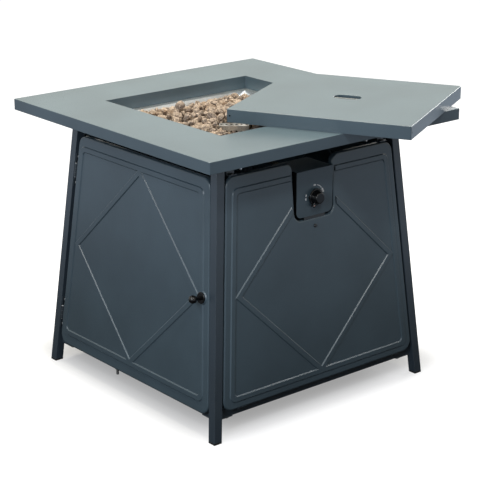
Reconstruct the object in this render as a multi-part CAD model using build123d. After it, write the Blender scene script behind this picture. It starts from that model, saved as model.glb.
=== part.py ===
"""Square gas fire pit table with a cabinet for the gas bottle.

Frame: millimetres, +Z up, origin on the floor at the middle of the four feet.
The control panel faces -Y (front), the door faces -X (left).
"""

from build123d import *
import os
from math import atan, cos, degrees, pi, radians, sin, tan

os.makedirs("parts", exist_ok=True)

# ---- table top -------------------------------------------------------------
TABLE_HEIGHT = 635.0
TOP_SIDE = 711.0
TOP_SHEET = 1.5
SKIRT_HEIGHT = 25.0
SKIRT_HEM = 12.0
OPENING_SIDE = 413.0
RECESS_DEPTH = 30.0
LEDGE_WIDTH = 13.0

# ---- lid, lying askew on the top -------------------------------------------
LID_CLEARANCE = 2.5
LID_HEIGHT = 29.0
LID_SHEET = 1.5
LID_HEM = 8.0
LID_CENTRE = (152.8, -207.6)
LID_YAW = -61.76
LID_CORNER_HOLE = 4.0
LID_HOLE_INSET = 7.0
SLOT_LENGTH = 64.0
SLOT_WIDTH = 40.0
COLLAR_DEPTH = 8.0
COLLAR_SHEET = 1.2
COLLAR_ROUND = 0.8
GRIP_DIAMETER = 7.0
GRIP_DROP = 2.0

# ---- frame -----------------------------------------------------------------
LEG_TUBE = 20.0
LEG_WALL = 1.5
FOOT_SET_IN = 44.0
HEAD_SET_IN = 97.8
FOOT_CAP = 4.0
FOOT_PLUG = 16.0
RAIL_TUBE = 20.0
RAIL_WALL = 1.5
TOP_RAIL_SET_BACK = 9.0
BOTTOM_RAIL_SET_BACK = 13.5
TOP_RAIL_DROP = 57.0
BOTTOM_RAIL_LOW = 46.5
CORNER_PLATE = 2.5
CORNER_PLATE_LEG = 46.0
CHANNEL_SHEET = 1.5

# ---- pressed panels and door -----------------------------------------------
PANEL_SHEET = 1.2
PANEL_RETURN = 12.0
PANEL_GAP = 4.0
PANEL_TOP_GAP = 15.0
PANEL_RAIL_LAP = 2.5
PANEL_CORNER = 24.0
PANEL_EDGE_ROUND = 4.0
DOOR_DROP_BELOW = 9.0
DOOR_DROP_TOP = 3.0
DOOR_LATCH_GAP = 3.0
BEAD_HEIGHT = 2.2
BEAD_WIDTH = 14.0
BEAD_SIDE_INSET = 20.0
BEAD_BOTTOM_INSET = 15.0
BEAD_TOP_INSET = 26.0
BEAD_CORNER = 16.0
DIAMOND_DROP = 3.0
DIAMOND_TIP_MARGIN = 22.0
DIAMOND_SIDE_MARGIN = 51.6
DIAMOND_STRAP = 20.0

# ---- control box, valve and knob -------------------------------------------
BOX_WIDTH = 104.0
BOX_HEIGHT = 103.0
BOX_TOP_DROP = 94.0
BOX_FACE_RISE = 14.0
BOX_DEPTH = 84.0
BOX_SHEET = 1.2
BOX_CORNER = 14.0
NOTCH_GAP = 5.0
NOTCH_BEAD_GAP = 7.0
NOTCH_TOP_ROUND = 20.0
BRACKET_WIDTH = 60.0
BRACKET_DROP = 36.0
BRACKET_SHEET = 2.0
KNOB_RISE = 42.0
KNOB_DIAMETER = 38.0
KNOB_SKIRT = 3.0
KNOB_BODY_BASE = 32.0
KNOB_BODY_FRONT = 24.0
KNOB_BODY_HEIGHT = 12.5
KNOB_BORE_DEPTH = 8.0
KNOB_POINTER = 4.5
KNOB_POINTER_WIDTH = 10.0
KNOB_POINTER_TIP = 6.0
KNOB_POINTER_HEIGHT = 7.0
KNOB_POINTER_TURN = 210.0
KNOB_STAND_OFF = 4.0
KNOB_PUSH = 3.0
STEM_DIAMETER = 8.0
STEM_FLAT = 2.5
RUNNING_CLEARANCE = 0.05
VALVE_WIDTH = 32.0
VALVE_HEIGHT = 60.0
VALVE_DEPTH = 30.0
VALVE_FLANGE = 3.0
VALVE_FLANGE_WIDTH = 50.0
PLUNGER_DIAMETER = 12.0
PLUNGER_LENGTH = 7.0
OUTLET_RISE = 18.0
OUTLET_LENGTH = 10.0
INLET_DROP = 18.0
INLET_DIAMETER = 15.88
INLET_LENGTH = 14.0
INLET_BORE = 6.0

# ---- burner ----------------------------------------------------------------
PAN_SHEET = 1.0
PAN_LEDGE_GAP = 5.0
PAN_WALL_LEAN = 18.5
PAN_DEPTH = 50.0
PAN_FLANGE_GAP = 1.0
RING_RADIUS = 100.0
RING_TUBE = 18.0
RING_WALL = 1.2
RING_LIFT = 8.0
PORT_COUNT = 24
PORT_DIAMETER = 2.5
HUB_DIAMETER = 30.0
STUB_DIAMETER = 14.0
STUB_LENGTH = 18.0
STUB_BORE = 7.0
PIPE_DIAMETER = 8.0
PIPE_WALL = 1.0
PIPE_BEND = 12.0
PIPE_END_BEND = 8.0
PIPE_BACK_RUN = 22.0
PIPE_NUT = 18.0
PIPE_NUT_CAP = 3.0
GUARD_LENGTH = 66.0
GUARD_WIDTH = 26.0
GUARD_HEIGHT = 48.0
GUARD_SHEET = 1.0
GUARD_HOLES = 6
GUARD_HOLE = 6.0
GUARD_HOLE_DROP = 14.0
GUARD_REACH = 66.0
GUARD_YAW = -39.8
PROBE_DIAMETER = 6.0
PROBE_TIP = 2.0
PROBE_SPACING = 18.0
ROCK_EDGE_DROP = 39.0
ROCK_CROWN_DROP = 19.0
ROCK_CROWN_SIDE = 170.0
ROCK_GAP = 0.3

# ---- heat shield, bottle tray ----------------------------------------------
SHIELD_WIDTH = 236.0
SHIELD_DEPTH = 62.0
SHIELD_SHEET = 1.5
SHIELD_LIP = 6.0
TRAY_SIDE = 330.0
TRAY_SHEET = 1.5
TRAY_RIM = 10.0
TRAY_HOLE = 90.0
STOP_RING = 222.0
STOP_HEIGHT = 22.0
STOP_SHEET = 2.0
TRAY_BAR_WIDTH = 25.0
TRAY_BAR_HEIGHT = 12.0
TRAY_BAR_SPACING = 240.0

# ---- panel fixings ----------------------------------------------------------
HANGER_LEG_GAP = 25.9
HANGER_WIDTH = 20.0
HANGER_SHEET = 2.0
HANGER_FOOT = 9.0
SHELF_LEG_GAP = 55.9
SHELF_WIDTH = 24.0
SHELF_SHEET = 2.0
FIXING_SCREW_DEPTH = 7.0

# ---- hinges, knob and catch of the door ------------------------------------
HINGE_GAP = 10.0
HINGE_AXIS_DEPTH = 2.0
HINGE_BOTTOM_INSET = 71.0
HINGE_TOP_INSET = 85.0
HINGE_LEAF = 76.0
HINGE_LEAF_DEPTH = 15.0
HINGE_LEAF_SHEET = 1.5
KNUCKLE_STACK = 30.0
KNUCKLE_GAP = 0.4
HINGE_PIN = 4.0
PIN_HEAD_BRIM = 1.0
HINGE_SCREW_PITCH = 62.0
HINGE_CLEARANCE = 0.3
DOOR_LEAF = 42.0
RIVET = 3.0
RIVET_HEAD = 4.4
RIVET_HEAD_HEIGHT = 1.0
RIVET_PITCH = 36.0
BALL_DIAMETER = 18.0
BALL_STAND_OFF = 23.0
ROSETTE_DIAMETER = 25.0
ROSETTE_HEIGHT = 3.0
DOOR_KNOB_RISE = 1.0
DOOR_KNOB_INSET = 22.0
CATCH_ALONG = -77.0
CATCH_LENGTH = 46.0
CATCH_WIDTH = 12.0
CATCH_HEIGHT = 15.0
CATCH_FOOT = 3.0
CATCH_FOOT_MARGIN = 8.0
CATCH_AIR = 0.5
CATCH_TAIL = 18.0
STRIKE_SHEET = 1.5
STRIKE_LENGTH = 36.0
STRIKE_HEIGHT = 14.0

# ---- fasteners -------------------------------------------------------------
BOLT = 6.0
BOLT_HEAD = 10.0
BOLT_HEAD_HEIGHT = 4.0
NUT_HEIGHT = 5.0
BOLT_TAIL = 12.0
CORNER_BOLT_REACH = 8.0
TOP_BOLT_PITCH = 362.0
SCREW = 4.0
SCREW_HEAD = 8.0
SCREW_HEAD_HEIGHT = 2.6

# ---- derived levels --------------------------------------------------------
SKIRT_LOW = TABLE_HEIGHT - SKIRT_HEIGHT
UNDERSIDE = TABLE_HEIGHT - TOP_SHEET
FOOT_HALF = TOP_SIDE / 2 - FOOT_SET_IN
HEAD_HALF = TOP_SIDE / 2 - HEAD_SET_IN
SLOPE = (FOOT_HALF - HEAD_HALF) / SKIRT_LOW
LEAN = atan(SLOPE)
EDGE_LEAN = atan(sin(LEAN))
LEG_LEAF_SPARE = 1.0
LID_SIDE = OPENING_SIDE - 2 * LID_CLEARANCE
TOP_RAIL_LOW = TABLE_HEIGHT - TOP_RAIL_DROP
TOP_RAIL_HIGH = TOP_RAIL_LOW + RAIL_TUBE
BOTTOM_RAIL_HIGH = BOTTOM_RAIL_LOW + RAIL_TUBE
PANEL_LOW = BOTTOM_RAIL_HIGH - PANEL_RAIL_LAP
PANEL_HIGH = TOP_RAIL_LOW - PANEL_TOP_GAP
DOOR_LOW = PANEL_LOW - DOOR_DROP_BELOW
DOOR_HIGH = PANEL_HIGH - DOOR_DROP_TOP
BEAD_LOW = PANEL_LOW + BEAD_BOTTOM_INSET
BEAD_HIGH = PANEL_HIGH - BEAD_TOP_INSET
DIAMOND_MID = (BEAD_LOW + BEAD_HIGH) / 2 - DIAMOND_DROP
DIAMOND_HALF_HEIGHT = (BEAD_HIGH - BEAD_LOW) / 2 - DIAMOND_TIP_MARGIN
DOOR_KNOB_LEVEL = DIAMOND_MID + DOOR_KNOB_RISE
HINGE_LEVELS = (DOOR_LOW + HINGE_BOTTOM_INSET, DOOR_HIGH - HINGE_TOP_INSET)
BOX_HIGH = TABLE_HEIGHT - BOX_TOP_DROP
BOX_LOW = BOX_HIGH - BOX_HEIGHT
BOX_FACE_LEVEL = BOX_LOW + BOX_FACE_RISE
KNOB_LEVEL = BOX_LOW + KNOB_RISE
PAN_FLANGE_TOP = TABLE_HEIGHT - RECESS_DEPTH
LEDGE_TOP = PAN_FLANGE_TOP - PAN_SHEET
PAN_BOTTOM = PAN_FLANGE_TOP - PAN_DEPTH
PAN_MOUTH = OPENING_SIDE - 2 * (LEDGE_WIDTH + PAN_LEDGE_GAP)
PAN_FLOOR = PAN_MOUTH - 2 * PAN_WALL_LEAN
GUARD_HIGH = PAN_BOTTOM + GUARD_HEIGHT
ROCK_EDGE = TABLE_HEIGHT - ROCK_EDGE_DROP
ROCK_CROWN = TABLE_HEIGHT - ROCK_CROWN_DROP
SIDES = {"front": 0, "right": 90, "back": 180, "left": -90}
CORNERS = {"front_left": (-1, -1), "front_right": (1, -1), "back_right": (1, 1), "back_left": (-1, 1)}
# Local frame of the sloping front face: u to the right, v up the slope, w outwards.
FACE = Plane(origin=(0, -FOOT_HALF, 0), x_dir=(1, 0, 0), z_dir=(0, -cos(LEAN), sin(LEAN)))


def outer_half(level):
    """Half the distance between opposite outer leg faces at a height."""
    return FOOT_HALF - SLOPE * level


def up_slope(level):
    """Distance along the sloping face that reaches a height."""
    return level / cos(LEAN)


def leg_edge(v):
    """Half-width between the inner leg edges, v up the slope."""
    return FOOT_HALF - LEG_TUBE - sin(LEAN) * v


def on_side(shape, side):
    """Turn a shape built for the front to another side of the table."""
    return Rot(0, 0, SIDES[side]) * shape


def on_face(shape, side):
    """Place a shape given in u, v, w on one of the four sloping faces."""
    return on_side(FACE.location * shape, side)


def save(name, shape):
    """Write one node; a list becomes a group of separate solids."""
    solids = []
    for item in shape if isinstance(shape, list) else [shape]:
        solids.extend(item.solids())
    body = solids[0] if len(solids) == 1 else Compound(children=solids)
    export_step(body, f"parts/{name}.step")


def block(x0, x1, y0, y1, z0, z1):
    """Box from its lowest to its highest corner."""
    middle = Pos((x0 + x1) / 2, (y0 + y1) / 2, (z0 + z1) / 2)
    return middle * Box(x1 - x0, y1 - y0, z1 - z0)


def square_frustum(side_low, low, side_high, high):
    """Pyramid stump with a square section, centred on the Z axis."""
    faces = [Pos(0, 0, low) * Rectangle(side_low, side_low), Pos(0, 0, high) * Rectangle(side_high, side_high)]
    return loft(faces)


def rod(diameter, start, end):
    """Round bar between two points."""
    direction = Vector(*end) - Vector(*start)
    plane = Plane(origin=start, z_dir=direction)
    return extrude(plane * Circle(diameter / 2), direction.length)


def hex_prism(across, height):
    """Hexagonal prism standing on the XY plane."""
    return extrude(RegularPolygon(across / 2, 6, major_radius=False), height)


# ---- table top and lid -----------------------------------------------------


def make_table_top():
    """Folded sheet ring: top, skirt with hem, recess wall with a ledge for the pan."""
    half = TOP_SIDE / 2
    opening = OPENING_SIDE / 2
    top = block(-half, half, -half, half, SKIRT_LOW, TABLE_HEIGHT)
    top = fillet(top.edges().filter_by(Axis.Z), 2.0)
    top = fillet(top.faces().sort_by(Axis.Z)[-1].edges(), 1.0)
    core = half - TOP_SHEET
    top -= block(-core, core, -core, core, SKIRT_LOW + TOP_SHEET, UNDERSIDE)
    hem = core - SKIRT_HEM
    top -= block(-hem, hem, -hem, hem, SKIRT_LOW - 1, SKIRT_LOW + TOP_SHEET + 1)
    wall = opening + TOP_SHEET
    top += block(-wall, wall, -wall, wall, LEDGE_TOP - TOP_SHEET, TABLE_HEIGHT - 1.5)
    top -= block(-opening, opening, -opening, opening, LEDGE_TOP, TABLE_HEIGHT + 1)
    ledge = opening - LEDGE_WIDTH
    return top - block(-ledge, ledge, -ledge, ledge, LEDGE_TOP - TOP_SHEET - 1, LEDGE_TOP + 1)


def place_lid(shape):
    """Lay a lid piece, built upright on its own centre, on the table top."""
    return Pos(LID_CENTRE[0], LID_CENTRE[1], TABLE_HEIGHT) * Rot(0, 0, LID_YAW) * shape


def slot_outline(shrink):
    """Stadium outline of the finger slot, moved inwards by shrink."""
    return SlotOverall(SLOT_LENGTH - 2 * shrink, SLOT_WIDTH - 2 * shrink)


def make_lid():
    """Folded pan, open below, with a hemmed rim and a finger slot."""
    half = LID_SIDE / 2
    lid = block(-half, half, -half, half, 0, LID_HEIGHT)
    lid = fillet(lid.edges().filter_by(Axis.Z), 2.0)
    lid = fillet(lid.faces().sort_by(Axis.Z)[-1].edges(), 1.0)
    core = half - LID_SHEET
    lid -= block(-core, core, -core, core, LID_SHEET, LID_HEIGHT - LID_SHEET)
    hem = core - LID_HEM
    lid -= block(-hem, hem, -hem, hem, -1, LID_SHEET + 1)
    lid -= Pos(0, 0, LID_HEIGHT - LID_SHEET - 1) * extrude(slot_outline(0), LID_SHEET + 2)
    across = half - LID_HOLE_INSET
    for turn in range(4):
        start = (-across, -half - 1, LID_HEIGHT / 2)
        end = (-across, -core + 1, LID_HEIGHT / 2)
        lid -= Rot(0, 0, 90 * turn) * rod(LID_CORNER_HOLE, start, end)
    return place_lid(lid)


def make_lid_collar():
    """Turned-down collar welded into the lid's slot."""
    low = LID_HEIGHT - COLLAR_DEPTH
    collar = Pos(0, 0, low) * extrude(slot_outline(0) - slot_outline(COLLAR_SHEET), COLLAR_DEPTH)
    rim = collar.faces().sort_by(Axis.Z)[-1].inner_wires()[0].edges()
    return place_lid(fillet(rim, COLLAR_ROUND))


def make_lid_grip():
    """Round bar along the slot, welded to the collar's two ends."""
    reach = SLOT_LENGTH / 2
    level = LID_HEIGHT - GRIP_DROP - GRIP_DIAMETER / 2
    bar = rod(GRIP_DIAMETER, (-reach, 0, level), (reach, 0, level))
    return place_lid(bar & extrude(slot_outline(COLLAR_SHEET), LID_HEIGHT))


# ---- frame -----------------------------------------------------------------


def leg_prism(size, low, high, corner):
    """Square prism that leans with one leg, between two heights."""
    sx, sy = CORNERS[corner]
    middle = outer_half(low) - LEG_TUBE / 2
    section = Pos(sx * middle, sy * middle, low) * Rectangle(size, size)
    way = Vector(-sx * SLOPE, -sy * SLOPE, 1)
    return extrude(section, (high - low) * way.length, dir=way)


def leg_solid(corner):
    """Outer shape of one leg above its foot cap."""
    return leg_prism(LEG_TUBE, FOOT_CAP, UNDERSIDE, corner)


def make_leg(corner):
    """Splayed square tube from its foot cap to the underside of the top."""
    bore = LEG_TUBE - 2 * LEG_WALL
    leg = leg_solid(corner) - leg_prism(bore, FOOT_CAP - 1, UNDERSIDE + 1, corner)
    if corner == "back_left":
        for hole in leg_screw_holes():
            leg -= hole
    return leg


def make_foot_cap(corner):
    """Plastic cap with a plug inside the leg tube."""
    bore = LEG_TUBE - 2 * LEG_WALL
    return leg_prism(LEG_TUBE, 0, FOOT_CAP, corner) + leg_prism(bore, FOOT_CAP, FOOT_CAP + FOOT_PLUG, corner)


def all_legs():
    """The outer shape of the four legs, to trim what ends on them."""
    shape = leg_prism(LEG_TUBE, FOOT_CAP, UNDERSIDE, "front_left")
    for corner in ("front_right", "back_right", "back_left"):
        shape += leg_prism(LEG_TUBE, FOOT_CAP, UNDERSIDE, corner)
    return shape


LEGS = all_legs()


def rail_outer(low):
    """Distance of a rail's outer face from the middle of the table."""
    set_back = TOP_RAIL_SET_BACK if low == TOP_RAIL_LOW else BOTTOM_RAIL_SET_BACK
    return outer_half(low + RAIL_TUBE / 2) - set_back


def mitred_bar(outer, width, low, high):
    """Bar along the front side, cut at 45 degrees where the next side's bar meets it."""
    inner = outer - width
    outline = Polygon((-outer, -outer), (outer, -outer), (inner, -inner), (-inner, -inner), align=None)
    return Pos(0, 0, low) * extrude(outline, high - low)


def make_rail(low, side):
    """Square tube between two legs."""
    outer = rail_outer(low)
    bar = mitred_bar(outer, RAIL_TUBE, low, low + RAIL_TUBE)
    bore = RAIL_TUBE - 2 * RAIL_WALL
    bar -= block(-outer, outer, -outer + RAIL_WALL, -outer + RAIL_WALL + bore, low + RAIL_WALL, low + RAIL_WALL + bore)
    for along in rail_bolt_places(low):
        bar -= rod(BOLT, (along, -outer + RAIL_TUBE / 2, low - 1), (along, -outer + RAIL_TUBE / 2, low + RAIL_TUBE + 1))
    for along in (corner_bolt_reach(low), -corner_bolt_reach(low)):
        middle = -outer + RAIL_TUBE / 2
        bar -= rod(BOLT, (along, middle, low - 1), (along, middle, low + RAIL_WALL + 1))
    if side == "left" and low == BOTTOM_RAIL_LOW:
        bar -= catch_bolt_shank(low - 1, low + RAIL_TUBE + 1)
    return on_side(bar - LEGS, side)


def corner_bolt_reach(low):
    """Distance of a tie plate's bolt from the middle of its rail."""
    return rail_outer(low) - CORNER_PLATE_LEG + BOLT_HEAD


def rail_bolt_places(low):
    """Where bolts pass upright through a rail, along its side."""
    return (-TOP_BOLT_PITCH / 2, TOP_BOLT_PITCH / 2) if low == TOP_RAIL_LOW else ()


def make_channel(side):
    """Upright channel between a top rail and the underside of the top."""
    outer = rail_outer(TOP_RAIL_LOW)
    bar = mitred_bar(outer, RAIL_TUBE, TOP_RAIL_HIGH, UNDERSIDE)
    floor = TOP_RAIL_HIGH + CHANNEL_SHEET
    bar -= block(-outer, outer, -outer + CHANNEL_SHEET, -outer + RAIL_TUBE - CHANNEL_SHEET, floor, UNDERSIDE + 1)
    for along in rail_bolt_places(TOP_RAIL_LOW):
        middle = -outer + RAIL_TUBE / 2
        bar -= rod(BOLT, (along, middle, TOP_RAIL_HIGH - 1), (along, middle, floor + 1))
    return on_side(bar - LEGS, side)


def make_corner_plate(high, corner):
    """Triangular tie plate under two rails where they meet a leg."""
    sx, sy = CORNERS[corner]
    reach = rail_outer(high)
    points = [(reach, reach), (reach - CORNER_PLATE_LEG, reach), (reach, reach - CORNER_PLATE_LEG)]
    outline = Polygon(*[(sx * x, sy * y) for x, y in points], align=None)
    plate = Pos(0, 0, high - CORNER_PLATE) * extrude(outline, CORNER_PLATE, dir=(0, 0, 1))
    for x, y in corner_bolt_places(high, corner):
        plate -= rod(BOLT, (x, y, high - CORNER_PLATE - 1), (x, y, high + 1))
    return plate - LEGS


def corner_bolt_places(high, corner):
    """The two bolts of one tie plate, one under each rail."""
    sx, sy = CORNERS[corner]
    along = corner_bolt_reach(high)
    across = rail_outer(high) - RAIL_TUBE / 2
    return [(sx * along, sy * across), (sx * across, sy * along)]


def corner_plate_bolts(high):
    """Hex bolts from below through the tie plates into the rails."""
    bolts = []
    low = high - CORNER_PLATE
    for corner in CORNERS:
        for x, y in corner_bolt_places(high, corner):
            head = Pos(x, y, low - BOLT_HEAD_HEIGHT) * hex_prism(BOLT_HEAD, BOLT_HEAD_HEIGHT)
            bolts.append(head + rod(BOLT, (x, y, low), (x, y, high + CORNER_BOLT_REACH)))
    return bolts


def make_top_bolts():
    """Bolts that tie the channels of the top to the top rails, threads down."""
    bolts = []
    across = rail_outer(TOP_RAIL_LOW) - RAIL_TUBE / 2
    floor = TOP_RAIL_HIGH + CHANNEL_SHEET
    for turn in range(4):
        for along in rail_bolt_places(TOP_RAIL_LOW):
            shank = rod(BOLT, (along, -across, TOP_RAIL_LOW - BOLT_TAIL), (along, -across, floor))
            head = Pos(along, -across, floor) * hex_prism(BOLT_HEAD, BOLT_HEAD_HEIGHT)
            bolts.append(Rot(0, 0, 90 * turn) * (shank + head))
    return bolts


def make_top_nuts():
    """Nuts on the tails of the top bolts."""
    nuts = []
    across = rail_outer(TOP_RAIL_LOW) - RAIL_TUBE / 2
    for turn in range(4):
        for along in rail_bolt_places(TOP_RAIL_LOW):
            nut = Pos(along, -across, TOP_RAIL_LOW - NUT_HEIGHT) * hex_prism(BOLT_HEAD, NUT_HEIGHT)
            nut -= rod(BOLT, (along, -across, TOP_RAIL_LOW - NUT_HEIGHT - 1), (along, -across, TOP_RAIL_LOW + 1))
            nuts.append(Rot(0, 0, 90 * turn) * nut)
    return nuts


# ---- pressed panels --------------------------------------------------------


def panel_outline(low, high, gap_left, gap_right, notch=False):
    """Rounded trapezoid between two legs, in u and v; the notch holds the control box."""
    v0, v1 = up_slope(low), up_slope(high)
    points = [
        (-leg_edge(v0) + gap_left, v0),
        (leg_edge(v0) - gap_right, v0),
        (leg_edge(v1) - gap_right, v1),
        (-leg_edge(v1) + gap_left, v1),
    ]
    outline = Polygon(*points, align=None)
    outline = fillet(outline.vertices(), PANEL_CORNER)
    if notch:
        outline -= notch_outline(NOTCH_GAP)
        mouth = [p for p in outline.vertices() if abs(p.Y - v1) < 0.5 and abs(p.X) < BOX_WIDTH]
        outline = fillet(mouth, NOTCH_TOP_ROUND)
    return outline


def notch_outline(gap):
    """Outline of the control box grown by a gap, open upwards, in u and v."""
    half = BOX_WIDTH / 2 + gap
    low = up_slope(BOX_LOW - gap)
    high = up_slope(PANEL_HIGH) + 60
    outline = Pos(0, (low + high) / 2) * Rectangle(2 * half, high - low)
    bottom = outline.vertices().sort_by(Axis.Y)[:2]
    return fillet(bottom, BOX_CORNER + gap)


def bead_border(inset):
    """Rounded trapezoid that follows the legs, bounding the border bead."""
    v0, v1 = up_slope(BEAD_LOW + inset), up_slope(BEAD_HIGH - inset)
    side = BEAD_SIDE_INSET + inset
    points = [
        (-leg_edge(v0) + side, v0),
        (leg_edge(v0) - side, v0),
        (leg_edge(v1) - side, v1),
        (-leg_edge(v1) + side, v1),
    ]
    outline = Polygon(*points, align=None)
    return fillet(outline.vertices(), max(BEAD_CORNER - inset * 0.6, 3.0))


def diamond(grow):
    """Diamond in the middle of a panel, its points moved out by grow."""
    middle = up_slope(DIAMOND_MID)
    wide = leg_edge(middle) - DIAMOND_SIDE_MARGIN + grow
    tall = up_slope(DIAMOND_HALF_HEIGHT) + grow
    points = [(0, middle - tall), (wide, middle), (0, middle + tall), (-wide, middle)]
    return Polygon(*points, align=None)


def bead_relief(shrink, notch):
    """Raised bead network of one panel, standing on w = 0, its flanks moved in by shrink."""
    relief = extrude(bead_border(shrink), BEAD_HEIGHT, taper=45)
    fields = [diamond(shrink)]
    corners = bead_border(BEAD_WIDTH - shrink) - diamond(DIAMOND_STRAP - shrink)
    fields.extend(corners.faces())
    for field in fields:
        relief -= extrude(field, BEAD_HEIGHT, taper=-44)
    if notch:
        relief -= Pos(0, 0, -1) * extrude(notch_outline(NOTCH_GAP + NOTCH_BEAD_GAP - shrink), BEAD_HEIGHT + 2)
    return relief


def make_panel(outline, notch=False):
    """Sheet with a folded return all round and the pressed bead network, in u, v, w."""
    edge = PANEL_EDGE_ROUND
    shell = extrude(outline, -PANEL_RETURN)
    shell = fillet(shell.faces().sort_by(Axis.Z)[-1].edges(), edge)
    hollow = Pos(0, 0, -PANEL_SHEET) * extrude(offset(outline, -PANEL_SHEET), -PANEL_RETURN)
    hollow = fillet(hollow.faces().sort_by(Axis.Z)[-1].edges(), edge - PANEL_SHEET)
    panel = shell - hollow
    panel += bead_relief(0, notch)
    groove = Pos(0, 0, -PANEL_SHEET) * bead_relief(PANEL_SHEET, notch)
    return panel - groove


def make_plain_panel(side):
    """Right and back panel."""
    panel = make_panel(panel_outline(PANEL_LOW, PANEL_HIGH, PANEL_GAP, PANEL_GAP))
    return on_face(panel - fixing_shanks(), side)


def make_front_panel():
    """Front panel with the notch and the hole of the bracket screw."""
    panel = make_panel(panel_outline(PANEL_LOW, PANEL_HIGH, PANEL_GAP, PANEL_GAP, True), True)
    v = up_slope(bracket_screw_level())
    panel -= rod(SCREW, (0, v, -PANEL_SHEET - 1), (0, v, 1))
    half = BRACKET_WIDTH / 2 + 1
    v0, v1 = up_slope(BOX_LOW - NOTCH_GAP) - 2 * PANEL_EDGE_ROUND, up_slope(BOX_LOW)
    panel -= block(-half, half, v0, v1, -PANEL_RETURN - 1, -PANEL_SHEET)
    return on_face(panel - fixing_shanks(), "front")


def make_door():
    """Door panel; its hinge edge keeps the hinge gap, and the knob's screw passes through."""
    outline = panel_outline(DOOR_LOW, DOOR_HIGH, HINGE_GAP, DOOR_LATCH_GAP)
    u, v = door_knob_place()
    door = make_panel(outline) + Pos(u, v, 0) * knob_pad(0)
    door -= Pos(u, v, -PANEL_SHEET) * knob_pad(PANEL_SHEET)
    door -= rod(SCREW, (u, v, -PANEL_SHEET - 1), (u, v, BEAD_HEIGHT + 1))
    for level in HINGE_LEVELS:
        for place in (-RIVET_PITCH / 2, RIVET_PITCH / 2):
            door -= hinge_axis_location(level) * rivet_shank(place)
    return on_face(door, "left")


def knob_pad(shrink):
    """Round pad pressed out to the height of the beads, under the knob's base."""
    radius = ROSETTE_DIAMETER / 2 + 1 + BEAD_HEIGHT - shrink
    return extrude(Circle(radius), BEAD_HEIGHT, taper=45)


# ---- panel fixings ---------------------------------------------------------


def hanger_along():
    """Distance of a hanger from the middle of its panel."""
    return leg_edge(up_slope(PANEL_HIGH)) - HANGER_LEG_GAP


def shelf_along():
    """Distance of a shelf tab from the middle of its panel."""
    return leg_edge(up_slope(PANEL_LOW)) - SHELF_LEG_GAP


def fixing_places():
    """u, v, w and direction of the four screws in the folded edges of one panel."""
    top, bottom = up_slope(PANEL_HIGH), up_slope(PANEL_LOW)
    depth = -PANEL_RETURN + HANGER_FOOT / 2
    places = []
    for sign in (-1, 1):
        places.append((sign * hanger_along(), top + HANGER_SHEET, depth, -1))
        places.append((sign * shelf_along(), bottom - SHELF_SHEET, depth, 1))
    return places


def fixing_shanks():
    """Screw shanks of one panel, as one cutter in u, v, w."""
    shanks = None
    for u, v, w, way in fixing_places():
        shank = rod(SCREW, (u, v, w), (u, v + way * FIXING_SCREW_DEPTH, w))
        shanks = shank if shanks is None else shanks + shank
    return shanks


def domed_screw():
    """Screw along Z, its shank below Z = 0 and its domed head above."""
    head = extrude(Circle(SCREW_HEAD / 2), SCREW_HEAD_HEIGHT)
    head = fillet(head.faces().sort_by(Axis.Z)[-1].edges(), SCREW_HEAD_HEIGHT * 0.6)
    return head + extrude(Circle(SCREW / 2), -FIXING_SCREW_DEPTH)


def make_fixing_screws():
    """Screws of the panels' folded edges, and the one below the control box."""
    screws = [make_bracket_screw()]
    for side in ("front", "right", "back"):
        for u, v, w, way in fixing_places():
            screws.append(on_face(Pos(u, v, w) * Rot(90 * way, 0, 0) * domed_screw(), side))
    return screws


def make_hangers():
    """Angle tabs from the upper tie plates down to the upper folded edge of each panel."""
    tabs = []
    low, high = up_slope(PANEL_HIGH), up_slope(TOP_RAIL_HIGH)
    ceiling = block(-TOP_SIDE, TOP_SIDE, -TOP_SIDE, TOP_SIDE, TOP_RAIL_LOW - CORNER_PLATE, TOP_RAIL_HIGH + 50)
    for side in ("front", "right", "back"):
        for sign in (-1, 1):
            x0, x1 = sign * hanger_along() - HANGER_WIDTH / 2, sign * hanger_along() + HANGER_WIDTH / 2
            web = block(x0, x1, low, high, -PANEL_RETURN - HANGER_SHEET, -PANEL_RETURN)
            foot = block(x0, x1, low, low + HANGER_SHEET, -PANEL_RETURN, -PANEL_RETURN + HANGER_FOOT)
            tabs.append(on_face(web + foot - fixing_shanks(), side) - ceiling)
    return tabs


def make_shelves():
    """Tabs on the bottom rails under the lower folded edge of each panel."""
    tabs = []
    high = up_slope(PANEL_LOW)
    rail = rail_outer(BOTTOM_RAIL_LOW)
    behind = block(-TOP_SIDE, TOP_SIDE, -rail, 0, -TOP_SIDE, TOP_SIDE)
    for side in ("front", "right", "back"):
        for sign in (-1, 1):
            x0, x1 = sign * shelf_along() - SHELF_WIDTH / 2, sign * shelf_along() + SHELF_WIDTH / 2
            tab = block(x0, x1, high - SHELF_SHEET, high, -2 * PANEL_RETURN, -PANEL_RETURN + HANGER_FOOT)
            tab = FACE.location * (tab - fixing_shanks()) - behind
            tabs.append(on_side(tab, side))
    return tabs


# ---- door furniture --------------------------------------------------------


def door_knob_place():
    """Where the door knob's axis meets the door, in u and v."""
    v = up_slope(DOOR_KNOB_LEVEL)
    return leg_edge(v) - DOOR_LATCH_GAP - DOOR_KNOB_INSET, v


def make_door_knob():
    """Ball on a stem and a round base."""
    u, v = door_knob_place()
    base = extrude(Circle(ROSETTE_DIAMETER / 2), ROSETTE_HEIGHT)
    base = fillet(base.faces().sort_by(Axis.Z)[-1].edges(), 1.2)
    stem = Pos(0, 0, ROSETTE_HEIGHT) * extrude(Circle(BALL_DIAMETER / 4), BALL_STAND_OFF - ROSETTE_HEIGHT)
    knob = base + stem + Pos(0, 0, BALL_STAND_OFF) * Sphere(BALL_DIAMETER / 2)
    knob -= rod(SCREW, (0, 0, -1), (0, 0, BALL_STAND_OFF / 2))
    return on_face(Pos(u, v, BEAD_HEIGHT) * knob, "left")


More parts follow.
